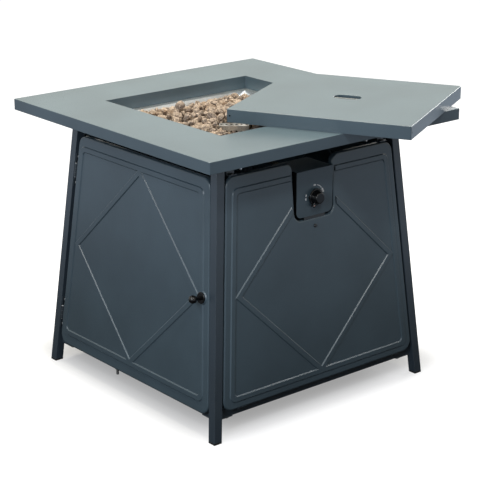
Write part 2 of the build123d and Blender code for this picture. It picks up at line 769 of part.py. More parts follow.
def make_door_knob_screw():
    """Screw through the door into the knob, its head inside."""
    u, v = door_knob_place()
    shank = rod(SCREW, (0, 0, -PANEL_SHEET), (0, 0, BALL_STAND_OFF / 2))
    head = rod(SCREW_HEAD, (0, 0, -PANEL_SHEET - SCREW_HEAD_HEIGHT), (0, 0, -PANEL_SHEET))
    return on_face(Pos(u, v, BEAD_HEIGHT) * (shank + head), "left")


def leaf_face():
    """Distance from the hinge axis to the back of either leaf, square to the edge."""
    return HINGE_GAP / 2 * cos(EDGE_LEAN)


def knuckle_radius():
    """Outer radius of the knuckles, clear of the opposite leaf."""
    return leaf_face() - HINGE_LEAF_SHEET - HINGE_CLEARANCE


def hinge_axis_location(level):
    """Frame on the hinge axis: x towards the door, y along the leg's edge, z outwards."""
    v = up_slope(level)
    u = -leg_edge(v) + HINGE_GAP / 2
    return Pos(u, v, -HINGE_AXIS_DEPTH) * Rot(0, 0, -degrees(EDGE_LEAN))


def knuckle(start, length):
    """One knuckle barrel along local y, bored for the pin."""
    barrel = rod(2 * knuckle_radius(), (0, start, 0), (0, start + length, 0))
    bore = HINGE_PIN + 2 * RUNNING_CLEARANCE
    return barrel - rod(bore, (0, start - 1, 0), (0, start + length + 1, 0))


def leaf(side, depth, length):
    """Flat leaf beside the knuckles; side is -1 at the leg and 1 at the door."""
    outer = leaf_face() + (LEG_LEAF_SPARE if side < 0 else 0)
    x0, x1 = sorted((side * (leaf_face() - HINGE_LEAF_SHEET), side * outer))
    return block(x0, x1, -length / 2, length / 2, -depth, 0)


def tangent_web(side, start, length):
    """Web that rolls a knuckle into its leaf."""
    x0, x1 = sorted((side * HINGE_PIN / 2, side * (leaf_face() - HINGE_LEAF_SHEET / 2)))
    web = block(x0, x1, start, start + length, -knuckle_radius(), 0)
    bore = HINGE_PIN + 2 * RUNNING_CLEARANCE
    return web - rod(bore, (0, start - 1, 0), (0, start + length + 1, 0))


def outer_knuckles():
    """Start and length of the two knuckles on the leg."""
    third = (KNUCKLE_STACK - 2 * KNUCKLE_GAP) / 3
    return [(-KNUCKLE_STACK / 2, third), (KNUCKLE_STACK / 2 - third, third)]


def make_leg_leaves():
    """Leg leaves with two knuckles each."""
    leaves = []
    for level in HINGE_LEVELS:
        shape = leaf(-1, HINGE_LEAF_DEPTH, HINGE_LEAF)
        for start, length in outer_knuckles():
            shape += knuckle(start, length) + tangent_web(-1, start, length)
        for place in (-HINGE_SCREW_PITCH / 2, HINGE_SCREW_PITCH / 2):
            shape -= rod(SCREW, (-HINGE_GAP, place, -HINGE_LEAF_DEPTH / 2), (0, place, -HINGE_LEAF_DEPTH / 2))
        leaves.append(on_face(hinge_axis_location(level) * shape, "left") - leg_solid("back_left"))
    return leaves


def leg_screw_holes():
    """Screw shanks of the leg leaves, as cutters for the leg."""
    shanks = []
    for level in HINGE_LEVELS:
        for place in (-HINGE_SCREW_PITCH / 2, HINGE_SCREW_PITCH / 2):
            shanks.append(on_face(hinge_axis_location(level) * leaf_screw_shank(place), "left"))
    return shanks


def leaf_screw_shank(place):
    """Shank from the leaf's front through the leg's wall."""
    depth = -HINGE_LEAF_DEPTH / 2
    face = -leaf_face() + HINGE_LEAF_SHEET
    return rod(SCREW, (face, place, depth), (face - FIXING_SCREW_DEPTH, place, depth))


def make_leg_leaf_screws():
    """Screws that hold the leg leaves to the leg tube."""
    screws = []
    for level in HINGE_LEVELS:
        for place in (-HINGE_SCREW_PITCH / 2, HINGE_SCREW_PITCH / 2):
            depth = -HINGE_LEAF_DEPTH / 2
            face = -leaf_face() + HINGE_LEAF_SHEET
            shank = leaf_screw_shank(place)
            head = rod(SCREW_HEAD, (face, place, depth), (face + SCREW_HEAD_HEIGHT, place, depth))
            head = fillet(head.edges().filter_by(GeomType.CIRCLE), 0.8)
            screws.append(on_face(hinge_axis_location(level) * (shank + head), "left"))
    return screws


def make_door_leaves():
    """Door leaves with one knuckle each, on the door's folded edge."""
    third = (KNUCKLE_STACK - 2 * KNUCKLE_GAP) / 3
    depth = PANEL_RETURN - HINGE_AXIS_DEPTH
    leaves = []
    for level in HINGE_LEVELS:
        shape = leaf(1, depth, DOOR_LEAF)
        shape += knuckle(-third / 2, third) + tangent_web(1, -third / 2, third)
        for place in (-RIVET_PITCH / 2, RIVET_PITCH / 2):
            shape -= rivet_shank(place)
        leaves.append(on_face(hinge_axis_location(level) * shape, "left"))
    return leaves


def rivet_shank(place):
    """Shank of one rivet through the door leaf and the door's folded edge."""
    depth = -(PANEL_RETURN - HINGE_AXIS_DEPTH) / 2
    face = leaf_face() - HINGE_LEAF_SHEET
    return rod(RIVET, (face, place, depth), (face + HINGE_LEAF_SHEET + PANEL_SHEET, place, depth))


def make_hinge_rivets():
    """Rivets with a low head on each side of leaf and folded edge."""
    rivets = []
    depth = -(PANEL_RETURN - HINGE_AXIS_DEPTH) / 2
    outer, inner = leaf_face() - HINGE_LEAF_SHEET, leaf_face() + PANEL_SHEET
    for level in HINGE_LEVELS:
        for place in (-RIVET_PITCH / 2, RIVET_PITCH / 2):
            heads = rod(RIVET_HEAD, (outer - RIVET_HEAD_HEIGHT, place, depth), (outer, place, depth))
            heads += rod(RIVET_HEAD, (inner, place, depth), (inner + RIVET_HEAD_HEIGHT, place, depth))
            rivets.append(on_face(hinge_axis_location(level) * (rivet_shank(place) + heads), "left"))
    return rivets


def make_hinge_pins():
    """Loose pins with domed heads, dropped in from above."""
    pins = []
    top = KNUCKLE_STACK / 2
    for level in HINGE_LEVELS:
        pin = rod(HINGE_PIN, (0, -top - 1.5, 0), (0, top, 0))
        head = Pos(0, top, 0) * Rot(-90, 0, 0) * extrude(Circle(HINGE_PIN / 2 + PIN_HEAD_BRIM), 3.0)
        head = fillet(head.edges().filter_by(GeomType.CIRCLE), 1.2)
        pins.append(on_face(hinge_axis_location(level) * (pin + head), "left"))
    return pins


def catch_middle():
    """Distance of the catch from the middle of the table, at the bottom rail."""
    return rail_outer(BOTTOM_RAIL_LOW) - RAIL_TUBE / 2


def catch_bolt_shank(low, high):
    """Upright shank of the catch's bolt, built for the front side."""
    return rod(BOLT, (CATCH_ALONG, -catch_middle(), low), (CATCH_ALONG, -catch_middle(), high))


def make_magnet_catch():
    """Magnet block bolted on the bottom rail behind the door."""
    face = door_inner_face(BOTTOM_RAIL_HIGH + CATCH_HEIGHT) - STRIKE_SHEET - CATCH_AIR
    body = block(
        CATCH_ALONG - CATCH_LENGTH / 2,
        CATCH_ALONG + CATCH_LENGTH / 2,
        -face,
        -face + CATCH_WIDTH,
        BOTTOM_RAIL_HIGH,
        BOTTOM_RAIL_HIGH + CATCH_HEIGHT,
    )
    foot = block(
        CATCH_ALONG - CATCH_LENGTH / 2,
        CATCH_ALONG + CATCH_LENGTH / 2,
        -face + CATCH_WIDTH,
        -catch_middle() + CATCH_FOOT_MARGIN,
        BOTTOM_RAIL_HIGH,
        BOTTOM_RAIL_HIGH + CATCH_FOOT,
    )
    body += foot
    body -= catch_bolt_shank(BOTTOM_RAIL_HIGH - 1, BOTTOM_RAIL_HIGH + CATCH_FOOT + 1)
    return on_side(body, "left")


def door_inner_face(level):
    """Distance of the door sheet's inner face from the middle, at a height."""
    return outer_half(level) - PANEL_SHEET / cos(LEAN)


def make_catch_bolt():
    """Bolt of the catch: head on the magnet block, nut and tail under the rail."""
    high = BOTTOM_RAIL_HIGH + CATCH_FOOT
    bolt = catch_bolt_shank(BOTTOM_RAIL_LOW - CATCH_TAIL, high)
    head = Pos(CATCH_ALONG, -catch_middle(), high) * extrude(Circle(BOLT_HEAD / 2 - 0.5), SCREW_HEAD_HEIGHT)
    nut = Pos(CATCH_ALONG, -catch_middle(), BOTTOM_RAIL_LOW - NUT_HEIGHT) * hex_prism(BOLT_HEAD, NUT_HEIGHT)
    nut -= catch_bolt_shank(BOTTOM_RAIL_LOW - NUT_HEIGHT - 1, BOTTOM_RAIL_LOW + 1)
    return on_side(bolt + head, "left"), on_side(nut, "left")


def make_catch_strike():
    """Steel plate on the inside of the door, facing the magnet."""
    v0 = up_slope(BOTTOM_RAIL_HIGH + 1)
    plate = block(
        CATCH_ALONG - STRIKE_LENGTH / 2,
        CATCH_ALONG + STRIKE_LENGTH / 2,
        v0,
        v0 + STRIKE_HEIGHT,
        -PANEL_SHEET - STRIKE_SHEET,
        -PANEL_SHEET,
    )
    return on_face(plate, "left")


# ---- control box, valve and knob -------------------------------------------


def box_face():
    """Distance of the control box's upright face from the middle."""
    return outer_half(BOX_FACE_LEVEL)


def box_outline(shrink):
    """Front view of the control box: square above, rounded below."""
    half = BOX_WIDTH / 2 - shrink
    low, high = BOX_LOW + shrink, BOX_HIGH - shrink
    outline = Pos(0, (low + high) / 2) * Rectangle(2 * half, high - low)
    return fillet(outline.vertices().sort_by(Axis.Y)[:2], BOX_CORNER - shrink)


def front_view(distance):
    """Upright plane looking out of the front, a distance from the middle."""
    return Plane(origin=(0, -distance, 0), x_dir=(1, 0, 0), z_dir=(0, -1, 0))


def make_control_box():
    """Box of folded sheet, open at the back, with holes for stem and valve screws."""
    face = box_face()
    box = extrude(front_view(face - BOX_DEPTH) * box_outline(0), BOX_DEPTH)
    box -= extrude(front_view(face - BOX_DEPTH - 1) * box_outline(BOX_SHEET), BOX_DEPTH + 1 - BOX_SHEET)
    box -= rod(STEM_DIAMETER + 4, (0, -face - 1, KNOB_LEVEL), (0, -face + BOX_SHEET + 1, KNOB_LEVEL))
    for along in valve_screw_places():
        box -= rod(SCREW, (along, -face - 1, KNOB_LEVEL), (along, -face + BOX_SHEET + 1, KNOB_LEVEL))
    return box


def valve_screw_places():
    """Valve screws to the left and right of the stem, under the knob's rim."""
    return (-KNOB_DIAMETER / 2 + SCREW, KNOB_DIAMETER / 2 - SCREW)


def make_valve_screws():
    """Flat-headed screws that hold the valve behind the box face."""
    face = box_face()
    screws = []
    for along in valve_screw_places():
        shank = rod(SCREW, (along, -face, KNOB_LEVEL), (along, -face + BOX_SHEET + VALVE_FLANGE + 2, KNOB_LEVEL))
        head = rod(SCREW_HEAD - 1, (along, -face - 1, KNOB_LEVEL), (along, -face, KNOB_LEVEL))
        screws.append(shank + head)
    return screws


def bracket_screw_level():
    """Height of the screw that holds the box's bracket to the front panel."""
    return BOX_LOW - BRACKET_DROP / 2 - NOTCH_GAP


def make_control_bracket():
    """Strip behind the front panel, welded under the control box."""
    half = BRACKET_WIDTH / 2
    v0, v1 = up_slope(BOX_LOW - BRACKET_DROP), up_slope(BOX_LOW + BOX_SHEET)
    strip = block(-half, half, v0, v1, -PANEL_SHEET - BRACKET_SHEET, -PANEL_SHEET)
    v = up_slope(bracket_screw_level())
    strip -= rod(SCREW, (0, v, -PANEL_SHEET - BRACKET_SHEET - 1), (0, v, 0))
    strip = on_face(strip, "front")
    return strip - block(-half, half, -FOOT_HALF, 0, BOX_LOW, BOX_HIGH)


def make_bracket_screw():
    """Domed screw below the control box."""
    return on_face(Pos(0, up_slope(bracket_screw_level()), 0) * domed_screw(), "front")


def valve_back():
    """Y of the valve body's rear face."""
    return -box_face() + BOX_SHEET + VALVE_FLANGE + VALVE_DEPTH


def make_gas_valve():
    """Valve body with flange, bores for stem and plunger, outlet above and inlet below."""
    front = -box_face() + BOX_SHEET
    back = valve_back()
    half_w, half_h = VALVE_WIDTH / 2, VALVE_HEIGHT / 2
    flange_h = VALVE_FLANGE_WIDTH / 2
    body = block(-half_w, half_w, front + VALVE_FLANGE, back, KNOB_LEVEL - half_h, KNOB_LEVEL + half_h)
    body = chamfer(body.edges().filter_by(Axis.Y), 5)
    body += block(-flange_h, flange_h, front, front + VALVE_FLANGE, KNOB_LEVEL - 14, KNOB_LEVEL + 14)
    stem_end, plunger_end = stem_inner_end(), plunger_end_y()
    bore = STEM_DIAMETER + 2 * RUNNING_CLEARANCE
    body -= rod(bore, (0, front - 1, KNOB_LEVEL), (0, stem_end, KNOB_LEVEL))
    bore = PLUNGER_DIAMETER + 2 * RUNNING_CLEARANCE
    body -= rod(bore, (0, stem_end - 0.2, KNOB_LEVEL), (0, plunger_end + KNOB_PUSH + 1, KNOB_LEVEL))
    for along in valve_screw_places():
        body -= rod(SCREW, (along, front - 1, KNOB_LEVEL), (along, front + VALVE_FLANGE + 2, KNOB_LEVEL))
    outlet, inlet = KNOB_LEVEL + OUTLET_RISE, KNOB_LEVEL - INLET_DROP
    body += rod(STUB_DIAMETER, (0, back - 1, outlet), (0, back + OUTLET_LENGTH, outlet))
    body -= rod(PIPE_DIAMETER, (0, back + 2, outlet), (0, back + OUTLET_LENGTH + 1, outlet))
    body += rod(INLET_DIAMETER, (0, back - 1, inlet), (0, back + INLET_LENGTH, inlet))
    body -= rod(INLET_BORE, (0, back - 6, inlet), (0, back + INLET_LENGTH + 1, inlet))
    return body


def stem_inner_end():
    """Y of the stem's inner end, where it pushes the plunger."""
    return -box_face() + BOX_SHEET + 10


def plunger_end_y():
    """Y of the plunger's inner end at rest."""
    return stem_inner_end() + PLUNGER_LENGTH


def make_valve_plunger():
    """Plunger of the safety valve, pushed by the stem."""
    return rod(PLUNGER_DIAMETER, (0, stem_inner_end(), KNOB_LEVEL), (0, plunger_end_y(), KNOB_LEVEL))


def knob_back():
    """Y of the knob's rear face at rest."""
    return -box_face() - KNOB_STAND_OFF


def make_valve_stem():
    """Stem with a flat, from the plunger into the knob."""
    start = knob_back() - KNOB_BORE_DEPTH
    stem = rod(STEM_DIAMETER, (0, start, KNOB_LEVEL), (0, stem_inner_end(), KNOB_LEVEL))
    flat = block(-STEM_DIAMETER, STEM_DIAMETER, start - 1, knob_back(), KNOB_LEVEL + STEM_FLAT, KNOB_LEVEL + STEM_DIAMETER)
    return stem - flat


def make_control_knob():
    """Round skirt, a tapering body and a pointer nose, bored for the stem."""
    radius = KNOB_DIAMETER / 2
    skirt = extrude(Circle(radius), KNOB_SKIRT)
    skirt = fillet(skirt.faces().sort_by(Axis.Z)[-1].edges(), 1.0)
    half, tip, reach = KNOB_POINTER_WIDTH / 2, KNOB_POINTER_TIP / 2, radius + KNOB_POINTER
    nose = extrude(Polygon((-half, 0), (half, 0), (tip, reach), (-tip, reach), align=None), KNOB_POINTER_HEIGHT)
    nose = fillet(nose.faces().sort_by(Axis.Z)[-1].edges(), 1.2)
    body = Cone(KNOB_BODY_BASE / 2, KNOB_BODY_FRONT / 2, KNOB_BODY_HEIGHT)
    body = fillet(body.faces().sort_by(Axis.Z)[-1].edges(), 2.5)
    knob = skirt + nose + Pos(0, 0, KNOB_SKIRT + KNOB_BODY_HEIGHT / 2) * body
    bore = Pos(0, 0, -1) * extrude(Circle(STEM_DIAMETER / 2), KNOB_BORE_DEPTH + 1)
    bore -= Pos(0, STEM_FLAT + STEM_DIAMETER / 2, 0) * Box(2 * STEM_DIAMETER, STEM_DIAMETER, 60)
    place = front_view(-knob_back()).location * Pos(0, KNOB_LEVEL, 0)
    knob = place * Rot(0, 0, -KNOB_POINTER_TURN) * knob
    return knob - place * bore


# ---- burner ----------------------------------------------------------------


def make_burner_pan():
    """Stainless pan with sloping walls and a flange on the ledge of the opening."""
    flange = OPENING_SIDE / 2 - PAN_FLANGE_GAP
    pan = block(-flange, flange, -flange, flange, LEDGE_TOP, PAN_FLANGE_TOP)
    low = PAN_BOTTOM
    pan += square_frustum(PAN_FLOOR, low - PAN_SHEET, PAN_MOUTH, PAN_FLANGE_TOP - PAN_SHEET)
    pan -= square_frustum(PAN_FLOOR - 2 * PAN_SHEET, low, PAN_MOUTH - 2 * PAN_SHEET, PAN_FLANGE_TOP)
    return pan - rod(STUB_DIAMETER, (0, 0, low - PAN_SHEET - 1), (0, 0, low + 1))


def ring_level():
    """Height of the burner ring's centre line."""
    return PAN_BOTTOM + RING_LIFT + RING_TUBE / 2


def burner_tubes(diameter):
    """Ring with two spokes, as solid tubes of one diameter."""
    level = ring_level()
    shape = Pos(0, 0, level) * Rot(0, 0, 45) * Torus(RING_RADIUS, diameter / 2)
    spoke = diameter - 2
    shape += rod(spoke, (-RING_RADIUS, 0, level), (RING_RADIUS, 0, level))
    return shape + rod(spoke, (0, -RING_RADIUS, level), (0, RING_RADIUS, level))


def make_burner_ring():
    """Burner: ported ring, two spokes, hub and the threaded gas inlet below the pan."""
    level = ring_level()
    burner = burner_tubes(RING_TUBE) + rod(HUB_DIAMETER, (0, 0, PAN_BOTTOM), (0, 0, level + RING_TUBE / 2))
    burner += rod(STUB_DIAMETER, (0, 0, PAN_BOTTOM - STUB_LENGTH), (0, 0, PAN_BOTTOM))
    burner -= burner_tubes(RING_TUBE - 2 * RING_WALL)
    burner -= rod(STUB_BORE, (0, 0, PAN_BOTTOM - STUB_LENGTH - 1), (0, 0, level))
    burner -= rod(PIPE_DIAMETER, (0, 0, PAN_BOTTOM - STUB_LENGTH - 1), (0, 0, feed_end()))
    for index in range(PORT_COUNT):
        angle = radians(360 * (index + 0.5) / PORT_COUNT)
        x, y = RING_RADIUS * cos(angle), RING_RADIUS * sin(angle)
        burner -= rod(PORT_DIAMETER, (x, y, level), (x, y, level + RING_TUBE))
    return burner


def make_burner_nut():
    """Lock nut of the burner, under the pan."""
    low = PAN_BOTTOM - PAN_SHEET - NUT_HEIGHT
    nut = Pos(0, 0, low) * hex_prism(22, NUT_HEIGHT)
    return nut - rod(STUB_DIAMETER, (0, 0, low - 1), (0, 0, low + NUT_HEIGHT + 1))


def feed_route():
    """Corners of the feed pipe from the valve's outlet to the burner's inlet."""
    start = valve_back() + 2
    outlet = KNOB_LEVEL + OUTLET_RISE
    rise = PAN_BOTTOM - STUB_LENGTH - PIPE_NUT_CAP - PIPE_END_BEND
    return [
        (0, start, outlet),
        (0, start + 8 + PIPE_BACK_RUN, outlet),
        (0, start + 8 + PIPE_BACK_RUN, rise),
        (0, 0, rise),
        (0, 0, feed_end()),
    ]


def feed_end():
    """Height of the feed pipe's end inside the burner's inlet."""
    return PAN_BOTTOM - STUB_LENGTH + 6


def make_feed_pipe():
    """Bent pipe from the valve to the burner."""
    route = feed_route()
    legs = [PIPE_BEND, PIPE_BEND, PIPE_END_BEND]
    path = FilletPolyline(*route, radius=legs)
    outer = sweep(Plane(origin=route[0], z_dir=(0, 1, 0)) * Circle(PIPE_DIAMETER / 2), path)
    inner = sweep(Plane(origin=route[0], z_dir=(0, 1, 0)) * Circle(PIPE_DIAMETER / 2 - PIPE_WALL), path)
    return outer - inner


def make_pipe_nuts():
    """Flare nuts at the two ends of the feed pipe."""
    outlet, back = KNOB_LEVEL + OUTLET_RISE, valve_back()
    level = PAN_BOTTOM - STUB_LENGTH
    end = back + OUTLET_LENGTH + PIPE_NUT_CAP
    first = Plane(origin=(0, back + 2, outlet), z_dir=(0, 1, 0)) * RegularPolygon(PIPE_NUT / 2, 6, major_radius=False)
    first = extrude(first, OUTLET_LENGTH + PIPE_NUT_CAP - 2)
    first -= rod(STUB_DIAMETER, (0, back + 1, outlet), (0, back + OUTLET_LENGTH, outlet))
    first -= rod(PIPE_DIAMETER, (0, back + 1, outlet), (0, end + 1, outlet))
    second = Pos(0, 0, level - PIPE_NUT_CAP) * hex_prism(PIPE_NUT, PIPE_NUT_CAP + 8)
    second -= rod(STUB_DIAMETER, (0, 0, level), (0, 0, level + 9))
    second -= rod(PIPE_DIAMETER, (0, 0, level - PIPE_NUT_CAP - 1), (0, 0, level + 9))
    return [first, second]


def guard_place(shape):
    """Place a piece of the igniter group, built on the Z axis, near the front left of the pan."""
    angle = radians(GUARD_YAW - 90)
    return Pos(GUARD_REACH * cos(angle), GUARD_REACH * sin(angle), 0) * Rot(0, 0, GUARD_YAW) * shape


def make_igniter_guard():
    """Channel of perforated sheet over the electrode and thermocouple, on the pan's floor."""
    half_l, half_w = GUARD_LENGTH / 2, GUARD_WIDTH / 2
    inner = half_w - GUARD_SHEET
    guard = block(-half_l, half_l, -half_w, half_w, PAN_BOTTOM, GUARD_HIGH)
    guard -= block(-half_l - 1, half_l + 1, -inner, inner, PAN_BOTTOM - 1, GUARD_HIGH - GUARD_SHEET)
    pitch = GUARD_LENGTH / GUARD_HOLES
    for index in range(GUARD_HOLES):
        x = (index + 0.5) * pitch - half_l
        level = GUARD_HIGH - GUARD_HOLE_DROP
        guard -= rod(GUARD_HOLE, (x, -half_w - 1, level), (x, half_w + 1, level))
        guard -= rod(GUARD_HOLE, (x, 0, GUARD_HIGH - GUARD_SHEET - 1), (x, 0, GUARD_HIGH + 1))
    return guard_place(guard)


def make_probe(side, tip_height):
    """Round probe standing on the pan's floor under the guard."""
    x = side * PROBE_SPACING / 2
    shoulder = GUARD_HIGH - 22
    body = rod(PROBE_DIAMETER, (x, 0, PAN_BOTTOM), (x, 0, shoulder))
    return guard_place(body + rod(PROBE_TIP, (x, 0, shoulder), (x, 0, shoulder + tip_height)))


def make_lava_rocks():
    """Closed heap that stands for the loose rocks lying on the burner."""
    low = ring_level() + RING_TUBE / 2 + ROCK_GAP
    slope = (PAN_MOUTH - PAN_FLOOR) / (PAN_DEPTH)
    side_low = PAN_FLOOR - 2 * PAN_SHEET + slope * (low - PAN_BOTTOM) - 2 * ROCK_GAP
    side_edge = PAN_FLOOR - 2 * PAN_SHEET + slope * (ROCK_EDGE - PAN_BOTTOM) - 2 * ROCK_GAP
    heap = square_frustum(side_low, low, side_edge, ROCK_EDGE)
    heap += square_frustum(side_edge, ROCK_EDGE, ROCK_CROWN_SIDE, ROCK_CROWN)
    half_l, half_w = GUARD_LENGTH / 2 + 1, GUARD_WIDTH / 2 + 1
    return heap - guard_place(block(-half_l, half_l, -half_w, half_w, low - 1, ROCK_CROWN + 1))


# ---- heat shield and bottle tray -------------------------------------------


def make_heat_shield():
    """Plate under the front top rail, above the control box, with a turned-down back lip."""
    half = SHIELD_WIDTH / 2
    front = -rail_outer(TOP_RAIL_LOW)
    high = TOP_RAIL_LOW
    plate = block(-half, half, front, front + SHIELD_DEPTH, high - SHIELD_SHEET, high)
    back = front + SHIELD_DEPTH
    return plate + block(-half, half, back - SHIELD_SHEET, back, high - SHIELD_LIP - SHIELD_SHEET, high)


def make_tray_bars():
    """Two cross bars between the left and right bottom rails."""
    inner = rail_outer(BOTTOM_RAIL_LOW) - RAIL_TUBE
    bars = []
    for side in (-1, 1):
        middle = side * TRAY_BAR_SPACING / 2
        high = BOTTOM_RAIL_HIGH
        y0, y1 = middle - TRAY_BAR_WIDTH / 2, middle + TRAY_BAR_WIDTH / 2
        bar = block(-inner, inner, y0, y1, high - TRAY_BAR_HEIGHT, high)
        bar -= block(
            -inner - 1, inner + 1, y0 + TRAY_SHEET, y1 - TRAY_SHEET, high - TRAY_BAR_HEIGHT - 1, high - TRAY_SHEET
        )
        bars.append(bar)
    return bars


def make_bottle_tray():
    """Square tray with a raised rim and a hole, on the cross bars."""
    half = TRAY_SIDE / 2
    low = BOTTOM_RAIL_HIGH
    tray = extrude(Pos(0, 0, low) * RectangleRounded(TRAY_SIDE, TRAY_SIDE, 20), TRAY_RIM)
    core = TRAY_SIDE - 2 * TRAY_SHEET
    tray -= extrude(Pos(0, 0, low + TRAY_SHEET) * RectangleRounded(core, core, 20 - TRAY_SHEET), TRAY_RIM)
    return tray - rod(2 * TRAY_HOLE, (0, 0, low - 1), (0, 0, low + TRAY_SHEET + 1))


def make_bottle_stop():
    """Hoop on the tray that keeps the bottle's foot ring in place."""
    low = BOTTOM_RAIL_HIGH + TRAY_SHEET
    hoop = Pos(0, 0, low) * extrude(Circle(STOP_RING / 2), STOP_HEIGHT)
    return hoop - Pos(0, 0, low - 1) * extrude(Circle(STOP_RING / 2 - STOP_SHEET), STOP_HEIGHT + 2)


def main():
    """Write every node."""
    save("table_top", make_table_top())
    save("top_channels", [make_channel(side) for side in SIDES])
    save("top_bolts", make_top_bolts())
    save("top_nuts", make_top_nuts())
    for corner in CORNERS:
        save(f"leg_{corner}", make_leg(corner))
    save("foot_caps", [make_foot_cap(corner) for corner in CORNERS])
    for side in SIDES:
        save(f"top_rail_{side}", make_rail(TOP_RAIL_LOW, side))
        save(f"bottom_rail_{side}", make_rail(BOTTOM_RAIL_LOW, side))
    save("corner_plates", [make_corner_plate(low, corner) for low in (TOP_RAIL_LOW, BOTTOM_RAIL_LOW) for corner in CORNERS])
    save("corner_bolts", corner_plate_bolts(TOP_RAIL_LOW) + corner_plate_bolts(BOTTOM_RAIL_LOW))
    save("panel_front", make_front_panel())
    save("panel_right", make_plain_panel("right"))
    save("panel_back", make_plain_panel("back"))
    save("panel_hangers", make_hangers())
    save("panel_shelves", make_shelves())
    save("fixing_screws", make_fixing_screws())
    save("control_box", make_control_box())
    save("control_bracket", make_control_bracket())
    save("valve_screws", make_valve_screws())
    save("gas_valve", make_gas_valve())
    save("valve_plunger", make_valve_plunger())
    save("valve_stem", make_valve_stem())
    save("control_knob", make_control_knob())
    save("burner_pan", make_burner_pan())
    save("burner_ring", make_burner_ring())
    save("burner_nut", make_burner_nut())
    save("feed_pipe", make_feed_pipe())
    save("pipe_nuts", make_pipe_nuts())
    save("igniter_guard", make_igniter_guard())
    save("igniter_electrode", make_probe(-1, 12))
    save("thermocouple", make_probe(1, 16))
    save("lava_rocks", make_lava_rocks())
    save("heat_shield", make_heat_shield())
    save("tray_bars", make_tray_bars())
    save("bottle_tray", make_bottle_tray())
    save("bottle_stop", make_bottle_stop())
    save("door", make_door())
    save("door_knob", make_door_knob())
    save("door_knob_screw", make_door_knob_screw())
    save("hinge_leaves_leg", make_leg_leaves())
    save("hinge_leaf_screws", make_leg_leaf_screws())
    save("hinge_leaves_door", make_door_leaves())
    save("hinge_rivets", make_hinge_rivets())
    save("hinge_pins", make_hinge_pins())
    save("magnet_catch", make_magnet_catch())
    catch_bolt, catch_nut = make_catch_bolt()
    save("catch_bolt", catch_bolt)
    save("catch_nut", catch_nut)
    save("catch_strike", make_catch_strike())
    save("lid", make_lid())
    save("lid_collar", make_lid_collar())
    save("lid_grip", make_lid_grip())


main()
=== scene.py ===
"""Looks of a square gas fire pit table: finishes, loose lava rocks, dial marks, studio."""

import logging
import math
import random
from dataclasses import dataclass, field
from enum import Enum
from functools import cache
from typing import Any

import bmesh
import bpy
from mathutils import Matrix, Vector, noise


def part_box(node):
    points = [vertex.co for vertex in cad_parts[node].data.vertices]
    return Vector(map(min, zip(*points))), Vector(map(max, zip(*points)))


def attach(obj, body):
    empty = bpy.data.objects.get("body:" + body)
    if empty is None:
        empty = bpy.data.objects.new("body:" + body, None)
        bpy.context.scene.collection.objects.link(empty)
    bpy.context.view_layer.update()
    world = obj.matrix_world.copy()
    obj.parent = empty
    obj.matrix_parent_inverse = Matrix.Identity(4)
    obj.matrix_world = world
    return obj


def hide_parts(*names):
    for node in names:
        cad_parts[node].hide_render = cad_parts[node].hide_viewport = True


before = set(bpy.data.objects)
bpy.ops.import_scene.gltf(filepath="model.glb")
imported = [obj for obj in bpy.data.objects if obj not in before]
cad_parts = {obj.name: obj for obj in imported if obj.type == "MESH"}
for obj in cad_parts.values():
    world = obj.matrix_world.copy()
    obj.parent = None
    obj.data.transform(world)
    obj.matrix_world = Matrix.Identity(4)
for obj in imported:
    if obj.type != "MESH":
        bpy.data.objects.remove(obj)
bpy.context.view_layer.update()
LOG = logging.getLogger("fire_pit_table")
MM = 0.001
FULL_TURN = 6.283
SEEDS = 1 << 30
EDGE_SAMPLES = 6
WHITE = "#FFFFFF"
IN_COLOUR = {"data_type": "RGBA"}

Colour = tuple[float, float, float, float]
Point = tuple[float, float, float]
Span = tuple[float, float]
Material = bpy.types.Material
Tree = bpy.types.NodeTree
Socket = bpy.types.NodeSocket


# ---- basic tools


def linear(code: str) -> Colour:
    """Turn an sRGB hex colour into linear values.

    Args:
        code: colour as "#RRGGBB".

    Returns:
        Linear red, green, blue and an alpha of 1.
    """
    parts = [int(code[i:i + 2], 16) / 255.0 for i in (1, 3, 5)]
    r, g, b = [p / 12.92 if p <= 0.04045 else ((p + 0.055) / 1.055) ** 2.4 for p in parts]
    return (r, g, b, 1.0)


def shaded(colour: Colour, red: float, green: float | None = None, blue: float | None = None) -> Colour:
    """Make a linear colour darker or lighter.

    Args:
        colour: the linear colour.
        red: factor for red, and for all three where the others aren't given.
        green: factor for green.
        blue: factor for blue.

    Returns:
        The new colour, at most white, with an alpha of 1.
    """
    factors = (red, red if green is None else green, red if blue is None else blue)
    return tuple(min(1.0, c * f) for c, f in zip(colour, factors)) + (1.0,)


def grey(value: float) -> Colour:
    """Grey of one linear value."""
    return (value, value, value, 1.0)


def per_metre(size_mm: float) -> float:
    """Scale of a pattern, in repeats per metre, from the size of one repeat in millimetres."""
    return 1000 / size_mm


def add_node(
    tree: Tree, kind: str, settings: dict[str, Any] | None = None,
    stops: tuple[tuple[float, Colour], ...] = (), **inputs: Any,
) -> bpy.types.Node:
    """Add a node with its settings, input values and links.

    Args:
        tree: the node tree that gets the node.
        kind: Blender's name of the node type, without the ShaderNode in front.
        settings: attributes of the node itself.
        stops: pairs of position and linear colour, for a colour ramp.
        **inputs: input values, or the output sockets that feed them. An input is named by
            its label with underscores, or as i0, i1 and so on where several share a label.

    Returns:
        The new node.
    """
    node = tree.nodes.new("ShaderNode" + kind)
    for name, value in (settings or {}).items():
        setattr(node, name, value)
    for _ in stops[2:]:
        node.color_ramp.elements.new(0.5)
    for k, (position, colour) in enumerate(stops):
        element = node.color_ramp.elements[k]
        element.position, element.color = position, colour
    for name, value in inputs.items():
        numbered = name[0] == "i" and name[1:].isdigit()
        socket = node.inputs[int(name[1:]) if numbered else name.replace("_", " ")]
        if isinstance(value, Socket):
            tree.links.new(value, socket)
        else:
            socket.default_value = value
    return node


